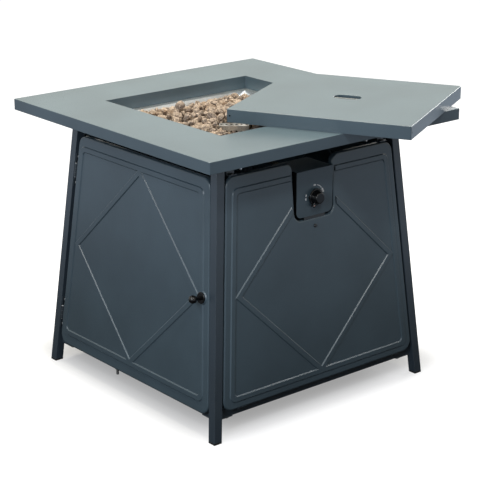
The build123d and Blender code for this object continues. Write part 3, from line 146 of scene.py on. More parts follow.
def new_object(name: str, mesh: bpy.types.Mesh, material: Material) -> bpy.types.Object:
    """Link a mesh to the scene as an object with one material.

    Args:
        name: the object's name.
        mesh: its mesh.
        material: the one material it gets.

    Returns:
        The new object.
    """
    piece = bpy.data.objects.new(name, mesh)
    mesh.materials.clear()
    mesh.materials.append(material)
    bpy.context.scene.collection.objects.link(piece)
    return piece


def dress(use: "Use", *nodes: str) -> None:
    """Give CAD nodes a finish in place of their own material.

    Args:
        use: the finish.
        *nodes: names of the CAD nodes.
    """
    material = made(use)
    for name in nodes:
        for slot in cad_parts[name].material_slots:
            slot.material = material
        LOG.info("dressed %s in %s", name, material.name)


# ---- finishes


class Lay(Enum):
    """Way in which a sheet was brushed, as the streaks' repeats per metre along X, Y and Z.

    Real brushing is about ten times finer. Here a streak is 1.1 mm wide, so that it shows.
    """

    ALONG_X = (6.0, 900.0, 900.0)
    ALONG_Y = (900.0, 6.0, 900.0)


@dataclass(frozen=True)
class Finish:
    """What all finishes share: a name and a colour, and how a material is opened and closed."""

    name: str
    colour: str

    def start(self) -> tuple[Material, Tree, Socket]:
        """Open a material with an empty tree.

        Returns:
            The material, its tree and the coordinates in metres.
        """
        material = bpy.data.materials.new(self.name)
        material.use_nodes = True
        tree = material.node_tree
        tree.nodes.clear()
        return material, tree, add_node(tree, "TexCoord").outputs["Object"]

    def close(self, tree: Tree, **inputs: Any) -> None:
        """Feed the surface output from a Principled shader.

        Args:
            tree: the material's tree.
            **inputs: the shader's values and links, as add_node takes them.
        """
        shader = add_node(tree, "BsdfPrincipled", **inputs)
        add_node(tree, "OutputMaterial", Surface=shader.outputs[0])


@dataclass(frozen=True)
class PowderCoat(Finish):
    """Polyester powder baked on folded steel sheet: an even satin skin with a fine orange peel."""

    # Lighter colour painted on sharp edges as a highlight.
    edge_highlight_colour: str = "#5E6A72"
    peel_mm: float = 1.6
    speck_mm: float = 0.5
    cloud_mm: float = 160.0
    edge_mm: float = 1.1
    roughness: float = 0.32
    roughness_spread: float = 0.05
    peel_depth: float = 0.16
    peel_height: float = 0.08 * MM
    cloud_dark: float = 0.90
    cloud_light: float = 1.10
    highlight_starts: float = 0.985
    highlight_full: float = 0.86
    highlight_amount: float = 0.75

    def build(self) -> Material:
        """Make the material.

        Returns:
            A satin grey paint. The peel breaks up reflections, the cloud keeps large faces from
            looking printed, and a lighter colour is painted on sharp edges as a highlight line.
        """
        material, tree, place = self.start()
        cloud = add_node(tree, "TexNoise", Vector=place, Scale=per_metre(self.cloud_mm), Detail=5.0)
        base = linear(self.colour)
        stops = ((0.34, shaded(base, self.cloud_dark)), (0.66, shaded(base, self.cloud_light)))
        colour = add_node(tree, "ValToRGB", stops=stops, Fac=cloud.outputs["Fac"])
        # Painted highlight: sharp edges are mixed towards the lighter edge colour.
        colour = add_node(
            tree, "Mix", IN_COLOUR, Factor=self._painted_edge_highlight(tree), A=colour.outputs["Color"],
            B=linear(self.edge_highlight_colour),
        )
        speck = add_node(tree, "TexNoise", Vector=place, Scale=per_metre(self.speck_mm), Detail=2.0)
        rough = add_node(
            tree, "MapRange", Value=speck.outputs["Fac"], From_Min=0.3, From_Max=0.7,
            To_Min=self.roughness - self.roughness_spread, To_Max=self.roughness + self.roughness_spread,
        )
        peel = add_node(
            tree, "TexNoise", Vector=place, Scale=per_metre(self.peel_mm), Detail=3.0, Roughness=0.6,
        )
        round_edge = add_node(tree, "Bevel", {"samples": EDGE_SAMPLES}, Radius=self.edge_mm * 0.7 * MM)
        bump = add_node(
            tree, "Bump", Strength=self.peel_depth, Distance=self.peel_height, Height=peel.outputs["Fac"],
            Normal=round_edge.outputs[0],
        )
        self.close(
            tree, Base_Color=self.tint(tree, colour.outputs["Result"]), Roughness=rough.outputs[0], IOR=1.5,
            Normal=bump.outputs[0],
        )
        return material

    def tint(self, tree: Tree, colour: Socket) -> Socket:
        """Leave the colour as it is; a coat with something laid on it changes it here."""
        return colour

    def _painted_edge_highlight(self, tree: Tree) -> Socket:
        """Find sharp edges for the painted highlight, from how far a rounded normal turns from the true one.

        Args:
            tree: the material's tree.

        Returns:
            A mask that is 0 on flat faces and rises on sharp edges, for the painted highlight.
        """
        soft = add_node(tree, "Bevel", {"samples": EDGE_SAMPLES}, Radius=self.edge_mm * MM)
        true = add_node(tree, "NewGeometry").outputs["Normal"]
        turn = add_node(tree, "VectorMath", {"operation": "DOT_PRODUCT"}, i0=soft.outputs[0], i1=true)
        return add_node(
            tree, "MapRange", Value=turn.outputs["Value"], From_Min=self.highlight_starts,
            From_Max=self.highlight_full, To_Min=0.0, To_Max=self.highlight_amount,
        ).outputs[0]


@dataclass(frozen=True)
class SideShadedCoat(PowderCoat):
    """Powder-coated box whose side walls are painted near black as shade, so the gap round the box shows
    dark.
    """

    # Near-black colour painted on the side walls as shade.
    side_shade_colour: str = "#08090A"
    side_starts: float = 0.55
    side_full: float = 0.70

    def tint(self, tree: Tree, colour: Socket) -> Socket:
        """Paint near-black shade on the walls that face sideways.

        Args:
            tree: the material's tree.
            colour: the paint's colour.

        Returns:
            The colour of paint and painted shade.
        """
        # Painted shade: walls that face sideways get the near-black side colour.
        normal = add_node(tree, "NewGeometry").outputs["True Normal"]
        across = add_node(tree, "SeparateXYZ", Vector=normal).outputs["X"]
        amount = add_node(tree, "Math", {"operation": "ABSOLUTE"}, i0=across)
        mask = add_node(
            tree, "MapRange", Value=amount.outputs[0], From_Min=self.side_starts, From_Max=self.side_full,
        )
        side_shaded = add_node(
            tree, "Mix", IN_COLOUR, Factor=mask.outputs[0], A=colour, B=linear(self.side_shade_colour),
        )
        return side_shaded.outputs["Result"]


@dataclass(frozen=True)
class BrushedSteel(Finish):
    """Ferritic stainless sheet with a brushed face: bright, with fine streaks along one way."""

    lay: Lay = Lay.ALONG_X
    roughness: float = 0.30
    smoother: float = 0.09
    rougher: float = 0.12
    streak_height: float = 0.02 * MM
    smoke_mm: float = 55.0
    smoke_shade: Point = (0.84, 0.83, 0.81)

    def build(self) -> Material:
        """Make the material.

        Returns:
            A bright metal whose streaks stretch each highlight across the brushing.
        """
        material, tree, place = self.start()
        stretched = add_node(tree, "Mapping", Vector=place, Scale=self.lay.value)
        streak = add_node(
            tree, "TexNoise", Vector=stretched.outputs[0], Scale=1.0, Detail=4.0, Roughness=0.7,
        )
        smoke = add_node(tree, "TexNoise", Vector=place, Scale=per_metre(self.smoke_mm), Detail=4.0)
        base = linear(self.colour)
        stops = ((0.35, shaded(base, *self.smoke_shade)), (0.60, base))
        colour = add_node(tree, "ValToRGB", stops=stops, Fac=smoke.outputs["Fac"])
        rough = add_node(
            tree, "MapRange", Value=streak.outputs["Fac"], From_Min=0.25, From_Max=0.75,
            To_Min=self.roughness - self.smoother, To_Max=self.roughness + self.rougher,
        )
        bump = add_node(
            tree, "Bump", Strength=0.25, Distance=self.streak_height, Height=streak.outputs["Fac"],
        )
        self.close(
            tree, Base_Color=self.tint(tree, place, colour.outputs["Color"]), Metallic=1.0,
            Roughness=rough.outputs[0], Normal=bump.outputs[0],
        )
        return material

    def tint(self, tree: Tree, place: Socket, colour: Socket) -> Socket:
        """Leave the colour as it is; a sheet with something burnt onto it changes it here."""
        return colour


@dataclass(frozen=True)
class InwardShadedSteel(BrushedSteel):
    """Stainless guard over a flame: bright outside, with near-black painted shade on the faces that look
    inwards.
    """

    # Near-black colour painted inside the guard as shade.
    inner_shade_colour: str = "#0B0A09"
    centre: Point = (0.0, 0.0, 0.0)
    skin: float = 6.0 * MM

    def tint(self, tree: Tree, place: Socket, colour: Socket) -> Socket:
        """Paint near-black shade on the faces whose normals don't point away from the middle of the guard.

        Args:
            tree: the material's tree.
            place: coordinates in metres.
            colour: the clean steel's colour.

        Returns:
            The colour of steel and painted shade.
        """
        # Painted shade: the faces that look inwards get the near-black colour.
        normal = add_node(tree, "NewGeometry").outputs["True Normal"]
        offset = add_node(tree, "VectorMath", {"operation": "SUBTRACT"}, i0=place, i1=self.centre)
        outward = add_node(tree, "VectorMath", {"operation": "DOT_PRODUCT"}, i0=offset.outputs[0], i1=normal)
        inner = add_node(tree, "Math", {"operation": "LESS_THAN"}, i0=outward.outputs["Value"], i1=self.skin)
        inner_shaded = add_node(tree, "Mix", IN_COLOUR, Factor=inner.outputs[0], A=colour, B=linear(self.inner_shade_colour))
        return inner_shaded.outputs["Result"]


@dataclass(frozen=True)
class PlatedSteel(Finish):
    """Zinc-plated steel hardware: cold grey metal with a faint spangle."""

    spangle_mm: float = 3.0
    spangle_shade: float = 0.7
    roughness: float = 0.34
    smoother: float = 0.08
    rougher: float = 0.12

    def build(self) -> Material:
        """Make the material.

        Returns:
            A grey metal whose spangle gives each small part its own patches of light.
        """
        material, tree, place = self.start()
        cells = add_node(tree, "TexVoronoi", Vector=place, Scale=per_metre(self.spangle_mm))
        base = linear(self.colour)
        stops = ((0.1, base), (0.9, shaded(base, self.spangle_shade)))
        colour = add_node(tree, "ValToRGB", stops=stops, Fac=cells.outputs["Distance"])
        rough = add_node(
            tree, "MapRange", Value=cells.outputs["Distance"], From_Min=0.0, From_Max=0.8,
            To_Min=self.roughness - self.smoother, To_Max=self.roughness + self.rougher,
        )
        self.close(tree, Base_Color=colour.outputs["Color"], Metallic=1.0, Roughness=rough.outputs[0])
        return material


@dataclass(frozen=True)
class CastMetal(Finish):
    """Die-cast or turned metal: grainy skin where cast, finer where turned."""

    grain_mm: float = 0.8
    grain_shade: float = 0.75
    grain_height: float = 0.08 * MM
    roughness: float = 0.45
    depth: float = 0.5

    def build(self) -> Material:
        """Make the material.

        Returns:
            A metal whose grain scatters the light as a cast skin does.
        """
        material, tree, place = self.start()
        grain = add_node(tree, "TexNoise", Vector=place, Scale=per_metre(self.grain_mm), Detail=6.0)
        base = linear(self.colour)
        stops = ((0.35, shaded(base, self.grain_shade)), (0.65, base))
        colour = add_node(tree, "ValToRGB", stops=stops, Fac=grain.outputs["Fac"])
        bump = add_node(
            tree, "Bump", Strength=self.depth, Distance=self.grain_height, Height=grain.outputs["Fac"],
        )
        self.close(
            tree, Base_Color=colour.outputs["Color"], Metallic=1.0, Roughness=self.roughness,
            Normal=bump.outputs[0],
        )
        return material


@dataclass(frozen=True)
class Moulding(Finish):
    """Moulded plastic or glazed ceramic, from glossy phenolic knobs to matt foot caps."""

    roughness: float = 0.12
    smoother: float = 0.04
    rougher: float = 0.05
    texture_mm: float = 2.5
    texture_height: float = 0.1 * MM
    depth: float = 0.12
    ior: float = 1.5

    def build(self) -> Material:
        """Make the material.

        Returns:
            A smooth skin, whose slight flow marks keep the gloss from being perfect.
        """
        material, tree, place = self.start()
        flow = add_node(tree, "TexNoise", Vector=place, Scale=per_metre(self.texture_mm), Detail=3.0)
        base = linear(self.colour)
        light = tuple(min(1.0, c * 1.35 + 0.002) for c in base[:3]) + (1.0,)
        stops = ((0.35, base), (0.75, light))
        colour = add_node(tree, "ValToRGB", stops=stops, Fac=flow.outputs["Fac"])
        rough = add_node(
            tree, "MapRange", Value=flow.outputs["Fac"], From_Min=0.3, From_Max=0.7,
            To_Min=self.roughness - self.smoother, To_Max=self.roughness + self.rougher,
        )
        bump = add_node(
            tree, "Bump", Strength=self.depth, Distance=self.texture_height, Height=flow.outputs["Fac"],
        )
        self.close(
            tree, Base_Color=colour.outputs["Color"], Roughness=rough.outputs[0], IOR=self.ior,
            Normal=bump.outputs[0],
        )
        return material


@dataclass(frozen=True)
class LavaStone(Finish):
    """Broken vesicular lava, tumbled: chalky skin, pits of burst bubbles, painted shade in creases and pits.
    """

    # Dark colour painted into creases, pits and pores as shade.
    hollow_shade: str = "#3B2D23"
    rust: str = "#846E5B"
    brown_shade: Point = (0.72, 0.67, 0.61)
    pale_shade: float = 1.14
    mottle_mm: float = 9.0
    mottle_amount: float = 0.55
    pit_mm: float = 3.4
    pore_mm: float = 1.3
    hole_shade: float = 0.60
    hole_depth: float = 1.0 * MM
    grit_mm: float = 1.6
    grit_height: float = 0.7 * MM

    def build(self) -> Material:
        """Make the material.

        Returns:
            A dry stone. Each rock's own tone and the painted shade of its creases and pits come with
            its mesh; the pits and pores are worked into the surface here, as bumps and as painted shade.
        """
        material, tree, place = self.start()
        tone = add_node(tree, "Attribute", {"attribute_name": "tone"}).outputs["Fac"]
        # Painted shade: how far each point lies in a crease or pit of its rock.
        depth = add_node(tree, "Attribute", {"attribute_name": "hollow_shade"}).outputs["Fac"]
        base = linear(self.colour)
        brown = shaded(base, *self.brown_shade)
        pale = shaded(base, self.pale_shade)
        stops = ((0.0, linear(self.rust)), (0.10, brown), (0.35, base), (1.0, pale))
        own = add_node(tree, "ValToRGB", stops=stops, Fac=tone)
        mottle = add_node(
            tree, "TexNoise", Vector=place, Scale=per_metre(self.mottle_mm), Detail=6.0, Roughness=0.65,
        )
        patch = add_node(
            tree, "MapRange", Value=mottle.outputs["Fac"], From_Min=0.46, From_Max=0.72, To_Min=0.0,
            To_Max=self.mottle_amount,
        )
        skin = add_node(tree, "Mix", IN_COLOUR, Factor=patch.outputs[0], A=own.outputs["Color"], B=brown)
        masks = []
        for size_mm, span in ((self.pit_mm, (0.12, 0.34)), (self.pore_mm, (0.10, 0.40))):
            holes = add_node(tree, "TexVoronoi", Vector=place, Scale=per_metre(size_mm))
            distance = holes.outputs["Distance"]
            masks.append(
                add_node(tree, "MapRange", Value=distance, From_Min=span[0], From_Max=span[1])
            )
        whole = add_node(
            tree, "Math", {"operation": "MULTIPLY"}, i0=masks[0].outputs[0], i1=masks[1].outputs[0]
        ).outputs[0]
        # Painted shade: pits, pores and the mesh's creases darken towards the hollow colour.
        shade = add_node(tree, "MapRange", Value=whole, To_Min=self.hole_shade, To_Max=0.0)
        painted_shade = add_node(tree, "Math", {"operation": "MAXIMUM"}, i0=shade.outputs[0], i1=depth)
        colour = add_node(
            tree, "Mix", IN_COLOUR, Factor=painted_shade.outputs[0], A=skin.outputs["Result"], B=linear(self.hollow_shade),
        )
        grit = add_node(
            tree, "TexNoise", Vector=place, Scale=per_metre(self.grit_mm), Detail=8.0, Roughness=0.7,
        )
        low = add_node(tree, "Bump", Strength=0.8, Distance=self.hole_depth, Height=whole)
        bump = add_node(
            tree, "Bump", Strength=0.6, Distance=self.grit_height, Height=grit.outputs["Fac"],
            Normal=low.outputs[0],
        )
        self.close(
            tree, Base_Color=colour.outputs["Result"], Roughness=0.93, Specular_IOR_Level=0.25,
            Normal=bump.outputs[0],
        )
        return material


@dataclass(frozen=True)
class PrintedInk(Finish):
    """Screen-printed ink: flat, slightly broken where the screen left it thin."""

    thin_mm: float = 0.9
    thin_shade: float = 0.72

    def build(self) -> Material:
        """Make the material.

        Returns:
            A flat ink, whose small thin spots let it look printed, not cut out.
        """
        material, tree, place = self.start()
        thin = add_node(tree, "TexNoise", Vector=place, Scale=per_metre(self.thin_mm), Detail=3.0)
        base = linear(self.colour)
        stops = ((0.34, shaded(base, self.thin_shade)), (0.5, base))
        colour = add_node(tree, "ValToRGB", stops=stops, Fac=thin.outputs["Fac"])
        self.close(tree, Base_Color=colour.outputs["Color"], Roughness=0.5, IOR=1.48)
        return material


def middle(box: tuple[Point, Point]) -> Point:
    """Middle of a box, from its two corners."""
    return tuple((a + b) / 2 for a, b in zip(*box))


class Use(Enum):
    """Every finish of the table."""

    COAT = PowderCoat("slate_polyester_powder_coat", "#4B5B64")
    FRAME_COAT = PowderCoat("slate_powder_coat_on_tube", "#3C4750")
    DARK_COAT = PowderCoat("charcoal_powder_coat_on_hardware", "#30383E", roughness=0.40)
    BLACK_COAT = PowderCoat("black_powder_coat", "#0E1012", "#16191C", roughness=0.30)
    BOX_COAT = SideShadedCoat("slate_powder_coat_with_painted_side_shade", "#4B5B64")
    STEEL = BrushedSteel("stainless_sheet_brushed", "#D9DCDE")
    GUARD_STEEL = InwardShadedSteel(
        "stainless_sheet_painted_shade_inside", "#D9DCDE", centre=middle(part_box("igniter_guard"))
    )
    TUBE_STEEL = BrushedSteel("stainless_tube_drawn", "#B9B4AA", Lay.ALONG_Y, 0.26)
    ZINC = PlatedSteel("steel_zinc_plated", "#B4B7BA")
    CASTING = CastMetal("aluminium_die_cast", "#A9ABAD")
    BRASS = CastMetal("brass_turned", "#B79253", grain_mm=0.4, roughness=0.28, depth=0.15)
    PHENOLIC = Moulding("phenolic_moulded_glossy", "#070708", roughness=0.16, ior=1.42)
    NYLON = Moulding("nylon_moulded_matt", "#1B1C1D", roughness=0.55, texture_mm=0.8, depth=0.4)
    ALUMINA = Moulding("alumina_sintered", "#DCD8CC", roughness=0.35, texture_mm=1.0, ior=1.6)
    LAVA = LavaStone("lava_rock_tumbled", "#AF9F91")
    INK = PrintedInk("white_screen_ink", "#FCFDFD")
    POINTER_INK = PrintedInk("pink_filled_dot", "#C9A79C")


@cache
def made(use: Use) -> Material:
    """Material of a finish, built when it is first asked for."""
    return use.value.build()


# ---- sub-assemblies


@dataclass
class TableFrame:
    """Top, legs, rails and tie plates."""

    legs: tuple[str, ...] = ("leg_front_left", "leg_front_right", "leg_back_left", "leg_back_right")
    rails: tuple[str, ...] = ("top_rail", "bottom_rail")
    sides: tuple[str, ...] = ("front", "right", "back", "left")

    def dress(self) -> None:
        """Finish the frame's CAD nodes."""
        dress(Use.COAT, "table_top")
        rails = [f"{rail}_{side}" for rail in self.rails for side in self.sides]
        dress(Use.FRAME_COAT, *self.legs, *rails, "corner_plates")
        dress(Use.DARK_COAT, "top_channels")
        dress(Use.ZINC, "top_bolts", "top_nuts", "corner_bolts")
        dress(Use.NYLON, "foot_caps")


@dataclass
class Cabinet:
    """Pressed panels with their fixings, the door with its furniture, the bottle tray."""

    def dress(self) -> None:
        """Finish the cabinet's CAD nodes."""
        dress(Use.COAT, "panel_front", "panel_right", "panel_back", "door")
        dress(Use.FRAME_COAT, "panel_hangers", "panel_shelves", "tray_bars", "bottle_tray", "bottle_stop")
        dress(Use.ZINC, "door_knob_screw", "hinge_leaf_screws", "hinge_rivets", "hinge_pins")
        dress(Use.ZINC, "catch_bolt", "catch_nut", "catch_strike", "heat_shield")
        dress(Use.DARK_COAT, "hinge_leaves_leg", "hinge_leaves_door")
        dress(Use.BLACK_COAT, "fixing_screws")
        dress(Use.PHENOLIC, "door_knob")
        dress(Use.NYLON, "magnet_catch")


@dataclass
class ControlPanel:
    """Control box with the gas valve, its knob and the printed dial marks.

    Each mark has its first and last angle in degrees, clockwise from the top, and its width at
    both ends as shares of mark_width.
    """

    knob_level: float = 480.0 * MM
    mark_radius: float = 25.5 * MM
    mark_width: float = 3.0 * MM
    marks: tuple[tuple[float, float, float, float], ...] = (
        (260.0, 271.0, 1.0, 1.0),
        (278.0, 289.0, 1.0, 1.0),
        (352.0, 366.0, 1.2, 1.2),
        (14.0, 50.0, 0.35, 0.8),
        (56.0, 78.0, 1.3, 1.8),
    )
    mark_steps: int = 14
    ink_height: float = 0.12 * MM
    pointer_turn: float = 210.0
    nose_step: float = 8.5 * MM
    dot_reach: float = 19.5 * MM
    dot_radius: float = 1.7 * MM
    dot_sunk: float = 0.2 * MM
    dot_flatness: float = 0.35
    dot_rounds: tuple[int, int] = (20, 10)

    def dress(self) -> None:
        """Finish the CAD nodes and print the marks."""
        dress(Use.BOX_COAT, "control_box")
        dress(Use.BLACK_COAT, "control_bracket", "valve_screws")
        dress(Use.CASTING, "gas_valve")
        dress(Use.BRASS, "valve_plunger", "pipe_nuts")
        dress(Use.ZINC, "valve_stem")
        dress(Use.TUBE_STEEL, "feed_pipe")
        dress(Use.PHENOLIC, "control_knob")
        self.print_marks()
        self.fill_pointer()

    def face(self) -> float:
        """Y of the control box's front face."""
        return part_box("control_box")[0][1]

    def print_marks(self) -> None:
        """Print the dial: two ticks on the left, one on top and an arc that swells to the right."""
        work = bmesh.new()
        for start, end, share_a, share_b in self.marks:
            self._arc(work, start, end, self.mark_width * share_a, self.mark_width * share_b)
        mesh = bpy.data.meshes.new("dial_marks")
        work.to_mesh(mesh)
        work.free()
        piece = new_object("dial_marks", mesh, made(Use.INK))
        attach(piece, "table")
        LOG.info("built %s", piece.name)

    def _arc(self, work: bmesh.types.BMesh, start: float, end: float, width_a: float, width_b: float) -> None:
        """Add one printed arc, swelling from one width to the other.

        Args:
            work: the mesh under construction.
            start: first angle in degrees, clockwise from the top.
            end: last angle.
            width_a: width at the start.
            width_b: width at the end.
        """
        rows = []
        back = self.face()
        front = back - self.ink_height
        for step in range(self.mark_steps + 1):
            share = step / self.mark_steps
            angle = math.radians(start + (end - start) * share)
            half = (width_a + (width_b - width_a) * share) / 2
            inner, outer = self.mark_radius - half, self.mark_radius + half
            ring = []
            for radius, y in ((inner, back), (inner, front), (outer, front), (outer, back)):
                level = self.knob_level + radius * math.cos(angle)
                ring.append(work.verts.new((radius * math.sin(angle), y, level)))
            rows.append(ring)
        for a, b in zip(rows, rows[1:]):
            for k, after in ((0, 1), (1, 2), (2, 3), (3, 0)):
                work.faces.new((a[k], a[after], b[after], b[k]))
        work.faces.new(rows[0][::-1])
        work.faces.new(rows[-1])
        bmesh.ops.recalc_face_normals(work, faces=work.faces)

    def fill_pointer(self) -> None:
        """Set a small domed dot in the tip of the knob's pointer."""
        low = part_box("control_knob")[0]
        work = bmesh.new()
        around, across = self.dot_rounds
        bmesh.ops.create_uvsphere(work, u_segments=around, v_segments=across, radius=self.dot_radius)
        angle = math.radians(self.pointer_turn)
        depth = low[1] + self.nose_step + self.dot_sunk
        level = self.knob_level + self.dot_reach * math.cos(angle)
        place = Vector((self.dot_reach * math.sin(angle), depth, level))
        flat = Matrix.Diagonal((1.0, self.dot_flatness, 1.0, 1.0))
        bmesh.ops.transform(work, matrix=Matrix.Translation(place) @ flat, verts=work.verts)
        mesh = bpy.data.meshes.new("pointer_dot")
        work.to_mesh(mesh)
        work.free()
        mesh.shade_smooth()
        piece = new_object("pointer_dot", mesh, made(Use.POINTER_INK))
        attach(piece, "knob")
        LOG.info("built %s", piece.name)


@dataclass(frozen=True)
class RockForm:
    """How a ball is broken into a rock.

    It swells by noise, in pairs of fineness and amount. Flat cuts then take off most of what
    stands beyond them, and creases, pits and small bumps are worked into the skin.
    """

    first_seed: int = 1000
    stretches: tuple[Span, ...] = ((0.92, 1.12), (0.80, 1.0), (0.70, 0.92))
    cuts: int = 11
    cut_levels: Span = (0.60, 0.90)
    cut_share: float = 0.85
    swells: tuple[Span, ...] = ((1.5, 0.34), (3.1, 0.26))
    crease_fineness: float = 3.0
    crease_width: float = 0.14
    crease_depth: float = 0.20
    crease_shade: float = 0.95
    pit_fineness: float = 6.5
    pit_starts: float = 0.18
    pit_depth: float = 0.40
    pit_shade: float = 2.6
    bump_fineness: float = 9.0
    bump_height: float = 0.07

    def build(self, seed: int, fine: bool) -> tuple[list[Vector], list[tuple[int, ...]], list[float]]:
        """Break a ball into a rock of radius 1.

        Args:
            seed: picks the shape.
            fine: whether to use the finer mesh.

        Returns:
            Points, faces and the amount of painted shade each point gets in a crease or pit, from 0 to 1.
        """
        dice = random.Random(self.first_seed + seed)
        work = bmesh.new()
        bmesh.ops.create_icosphere(work, subdivisions=4 if fine else 3, radius=1.0)
        stretch = Vector([dice.uniform(*span) for span in self.stretches])
        shift = Vector((dice.uniform(-50, 50), dice.uniform(-50, 50), dice.uniform(-50, 50)))
        cuts = []
        for _ in range(self.cuts):
            way = Vector((dice.gauss(0, 1), dice.gauss(0, 1), dice.gauss(0, 1))).normalized()
            cuts.append((way, dice.uniform(*self.cut_levels)))
        painted_shade = []
        for vert in work.verts:
            point = vert.co.normalized()
            way = point.copy()
            point *= 1.0 + sum(much * noise.noise(way * fineness + shift) for fineness, much in self.swells)
            for normal, limit in cuts:
                over = point.dot(normal) - limit
                if over > 0:
                    point -= normal * over * self.cut_share
            crease = abs(noise.noise(way * self.crease_fineness - shift))
            bite = max(0.0, self.crease_width - crease) / self.crease_width
            pit = max(0.0, noise.noise(way * self.pit_fineness + shift * 2) - self.pit_starts)
            point -= way * (self.crease_depth * bite * bite + self.pit_depth * pit)
            point += way * self.bump_height * noise.noise(way * self.bump_fineness + shift)
            vert.co = Vector((point.x * stretch.x, point.y * stretch.y, point.z * stretch.z))
            # Painted shade: creases and pits get an amount of darkening for the stone's colour.
            painted_shade.append(min(1.0, self.crease_shade * bite * bite + self.pit_shade * pit))
        points = [v.co.copy() for v in work.verts]
        polys = [tuple(v.index for v in f.verts) for f in work.faces]
        work.free()
        return points, polys, painted_shade


@dataclass
class Rock:
    """One loose rock: where it lies, its size, its seed, and whether it gets the finer mesh."""

    centre: Vector
    radius: float
    seed: int
    fine: bool


@dataclass
class FireBowl:
    """Burner pan, burner, igniter guard and the loose lava rocks.

    The rocks are dropped in tiers, each with its radius in millimetres and its number of tries.
    Then come the lumps that rise beside the guard, and the even layer underneath. Rocks touch
    where their centres are a little nearer than the sum of their radii, since none is a ball:
    seat, crest, nesting and what ends in share are parts of a radius.
    """

    ring_radius: float = 100.0 * MM
    ring_half: float = 9.0 * MM
    ring_top: float = 581.3 * MM
    guard_reach: float = 66.0 * MM
    guard_yaw: float = -39.8
    guard_half: Span = (33.0 * MM, 13.0 * MM)
    guard_gap: float = 1.0 * MM
    guard_shadow: float = 8 * MM
    pan_half: float = 181.0 * MM
    slope_half: float = 178 * MM
    slope_rise: float = 1.6
    slope_share: float = 0.9
    rim_share: float = 0.95
    guard_share: float = 0.98
    beside_share: float = 0.6
    crown_half: float = 84.0 * MM
    edge_level: float = 606.0 * MM
    crown_level: float = 622.0 * MM
    front_level: float = 588.0 * MM
    front_slope: float = 0.33
    tiers: tuple[tuple[float, int], ...] = ((19.0, 700), (15.5, 1100), (12.0, 1800), (8.0, 2600))
    size_spread: Span = (0.86, 1.18)
    seat: float = 0.86
    crest: float = 0.80
    nesting: float = 0.83
    fine_above: float = 9 * MM
    lump_radius: float = 14.5 * MM
    lump_spread: Span = (0.92, 1.10)
    lump_rise: float = 14.0 * MM
    lump_tries: int = 90
    lump_x_mm: Span = (-115, -20)
    lump_y_mm: Span = (80, 140)
    layer_rows: int = 17
    layer_margin: float = 15 * MM
    layer_shift_mm: float = 1.5
    layer_radius: float = 13.0 * MM
    layer_spread: Span = (0.9, 1.1)
    layer_level: float = 572.0 * MM
    seed: int = 41
    shapes: int = 16
    form: RockForm = RockForm()

    def dress(self) -> None:
        """Finish the burner's CAD nodes and pile up the rocks."""
        dress(Use.STEEL, "burner_pan")
        dress(Use.GUARD_STEEL, "igniter_guard")
        dress(Use.TUBE_STEEL, "burner_ring", "thermocouple")
        dress(Use.BRASS, "burner_nut")
        dress(Use.ALUMINA, "igniter_electrode")
        piece = new_object("lava_rocks_loose", self._heap_mesh(self._pile()), made(Use.LAVA))
        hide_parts("lava_rocks")
        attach(piece, "table")
        LOG.info("built %s", piece.name)

    def _guard_distance(self, x: float, y: float) -> float:
        """Distance of a point from the igniter guard's outline, seen from above.

        Args:
            x: the point's X.
            y: the point's Y.

        Returns:
            The distance in metres, 0 inside the outline.
        """
        angle = math.radians(self.guard_yaw - 90)
        dx, dy = x - self.guard_reach * math.cos(angle), y - self.guard_reach * math.sin(angle)
        turn = math.radians(-self.guard_yaw)
        along = dx * math.cos(turn) - dy * math.sin(turn)
        across = dx * math.sin(turn) + dy * math.cos(turn)
        a, b = max(0.0, abs(along) - self.guard_half[0]), max(0.0, abs(across) - self.guard_half[1])
        return math.hypot(a, b)

    def _before_guard(self, x: float, y: float) -> float:
        """How far a point lies before the guard's outer face, seen from above.

        Args:
            x: the point's X.
            y: the point's Y.

        Returns:
            The distance in metres, or a negative length where the point isn't before the guard.
        """
        angle = math.radians(self.guard_yaw - 90)
        along = x * math.cos(angle) + y * math.sin(angle)
        across = -x * math.sin(angle) + y * math.cos(angle)
        if abs(across) < self.guard_half[0] + self.guard_shadow:
            return along - self.guard_reach - self.guard_half[1]
        return -1.0

    def _ceiling(self, x: float, y: float) -> float:
        """Highest level that rocks reach at a place.

        Args:
            x: the place's X.
            y: the place's Y.

        Returns:
            The level in metres: low at the pan's rim and before the guard, highest in the middle.
        """
        out = max(abs(x), abs(y))
        share = min(1.0, max(0.0, (self.pan_half - out) / (self.pan_half - self.crown_half)))
        level = self.edge_level + (self.crown_level - self.edge_level) * share
        before = self._before_guard(x, y)
        return min(level, self.front_level + self.front_slope * before) if before > 0 else level

    def _pile(self) -> list[Rock]:
        """Drop rocks one after another onto the burner and onto each other.

        Returns:
            The rocks: the tiers, the lumps beside the guard and then the layer underneath.
        """
        dice = random.Random(self.seed)
        rocks: list[Rock] = []
        for radius, tries in self.tiers:
            for _ in range(tries):
                size = radius * dice.uniform(*self.size_spread) * MM
                room = self.pan_half - size * self.rim_share
                x, y = dice.uniform(-room, room), dice.uniform(-room, room)
                if self._guard_distance(x, y) < size * self.guard_share + self.guard_gap:
                    continue
                level = self._resting_level(rocks, x, y, size)
                if level + size * self.crest > self._ceiling(x, y):
                    continue
                fine = size > self.fine_above
                rocks.append(Rock(Vector((x, y, level)), size, dice.randrange(SEEDS), fine))
        for _ in range(self.lump_tries):
            size = self.lump_radius * dice.uniform(*self.lump_spread)
            x, y = dice.uniform(*self.lump_x_mm) * MM, dice.uniform(*self.lump_y_mm) * MM
            level = self._resting_level(rocks, x, y, size)
            if level + size * self.crest < self._ceiling(x, y) + self.lump_rise:
                rocks.append(Rock(Vector((x, y, level)), size, dice.randrange(SEEDS), True))
        rocks += self._lowest_layer(dice)
        LOG.info("piled %d rocks", len(rocks))
        return rocks

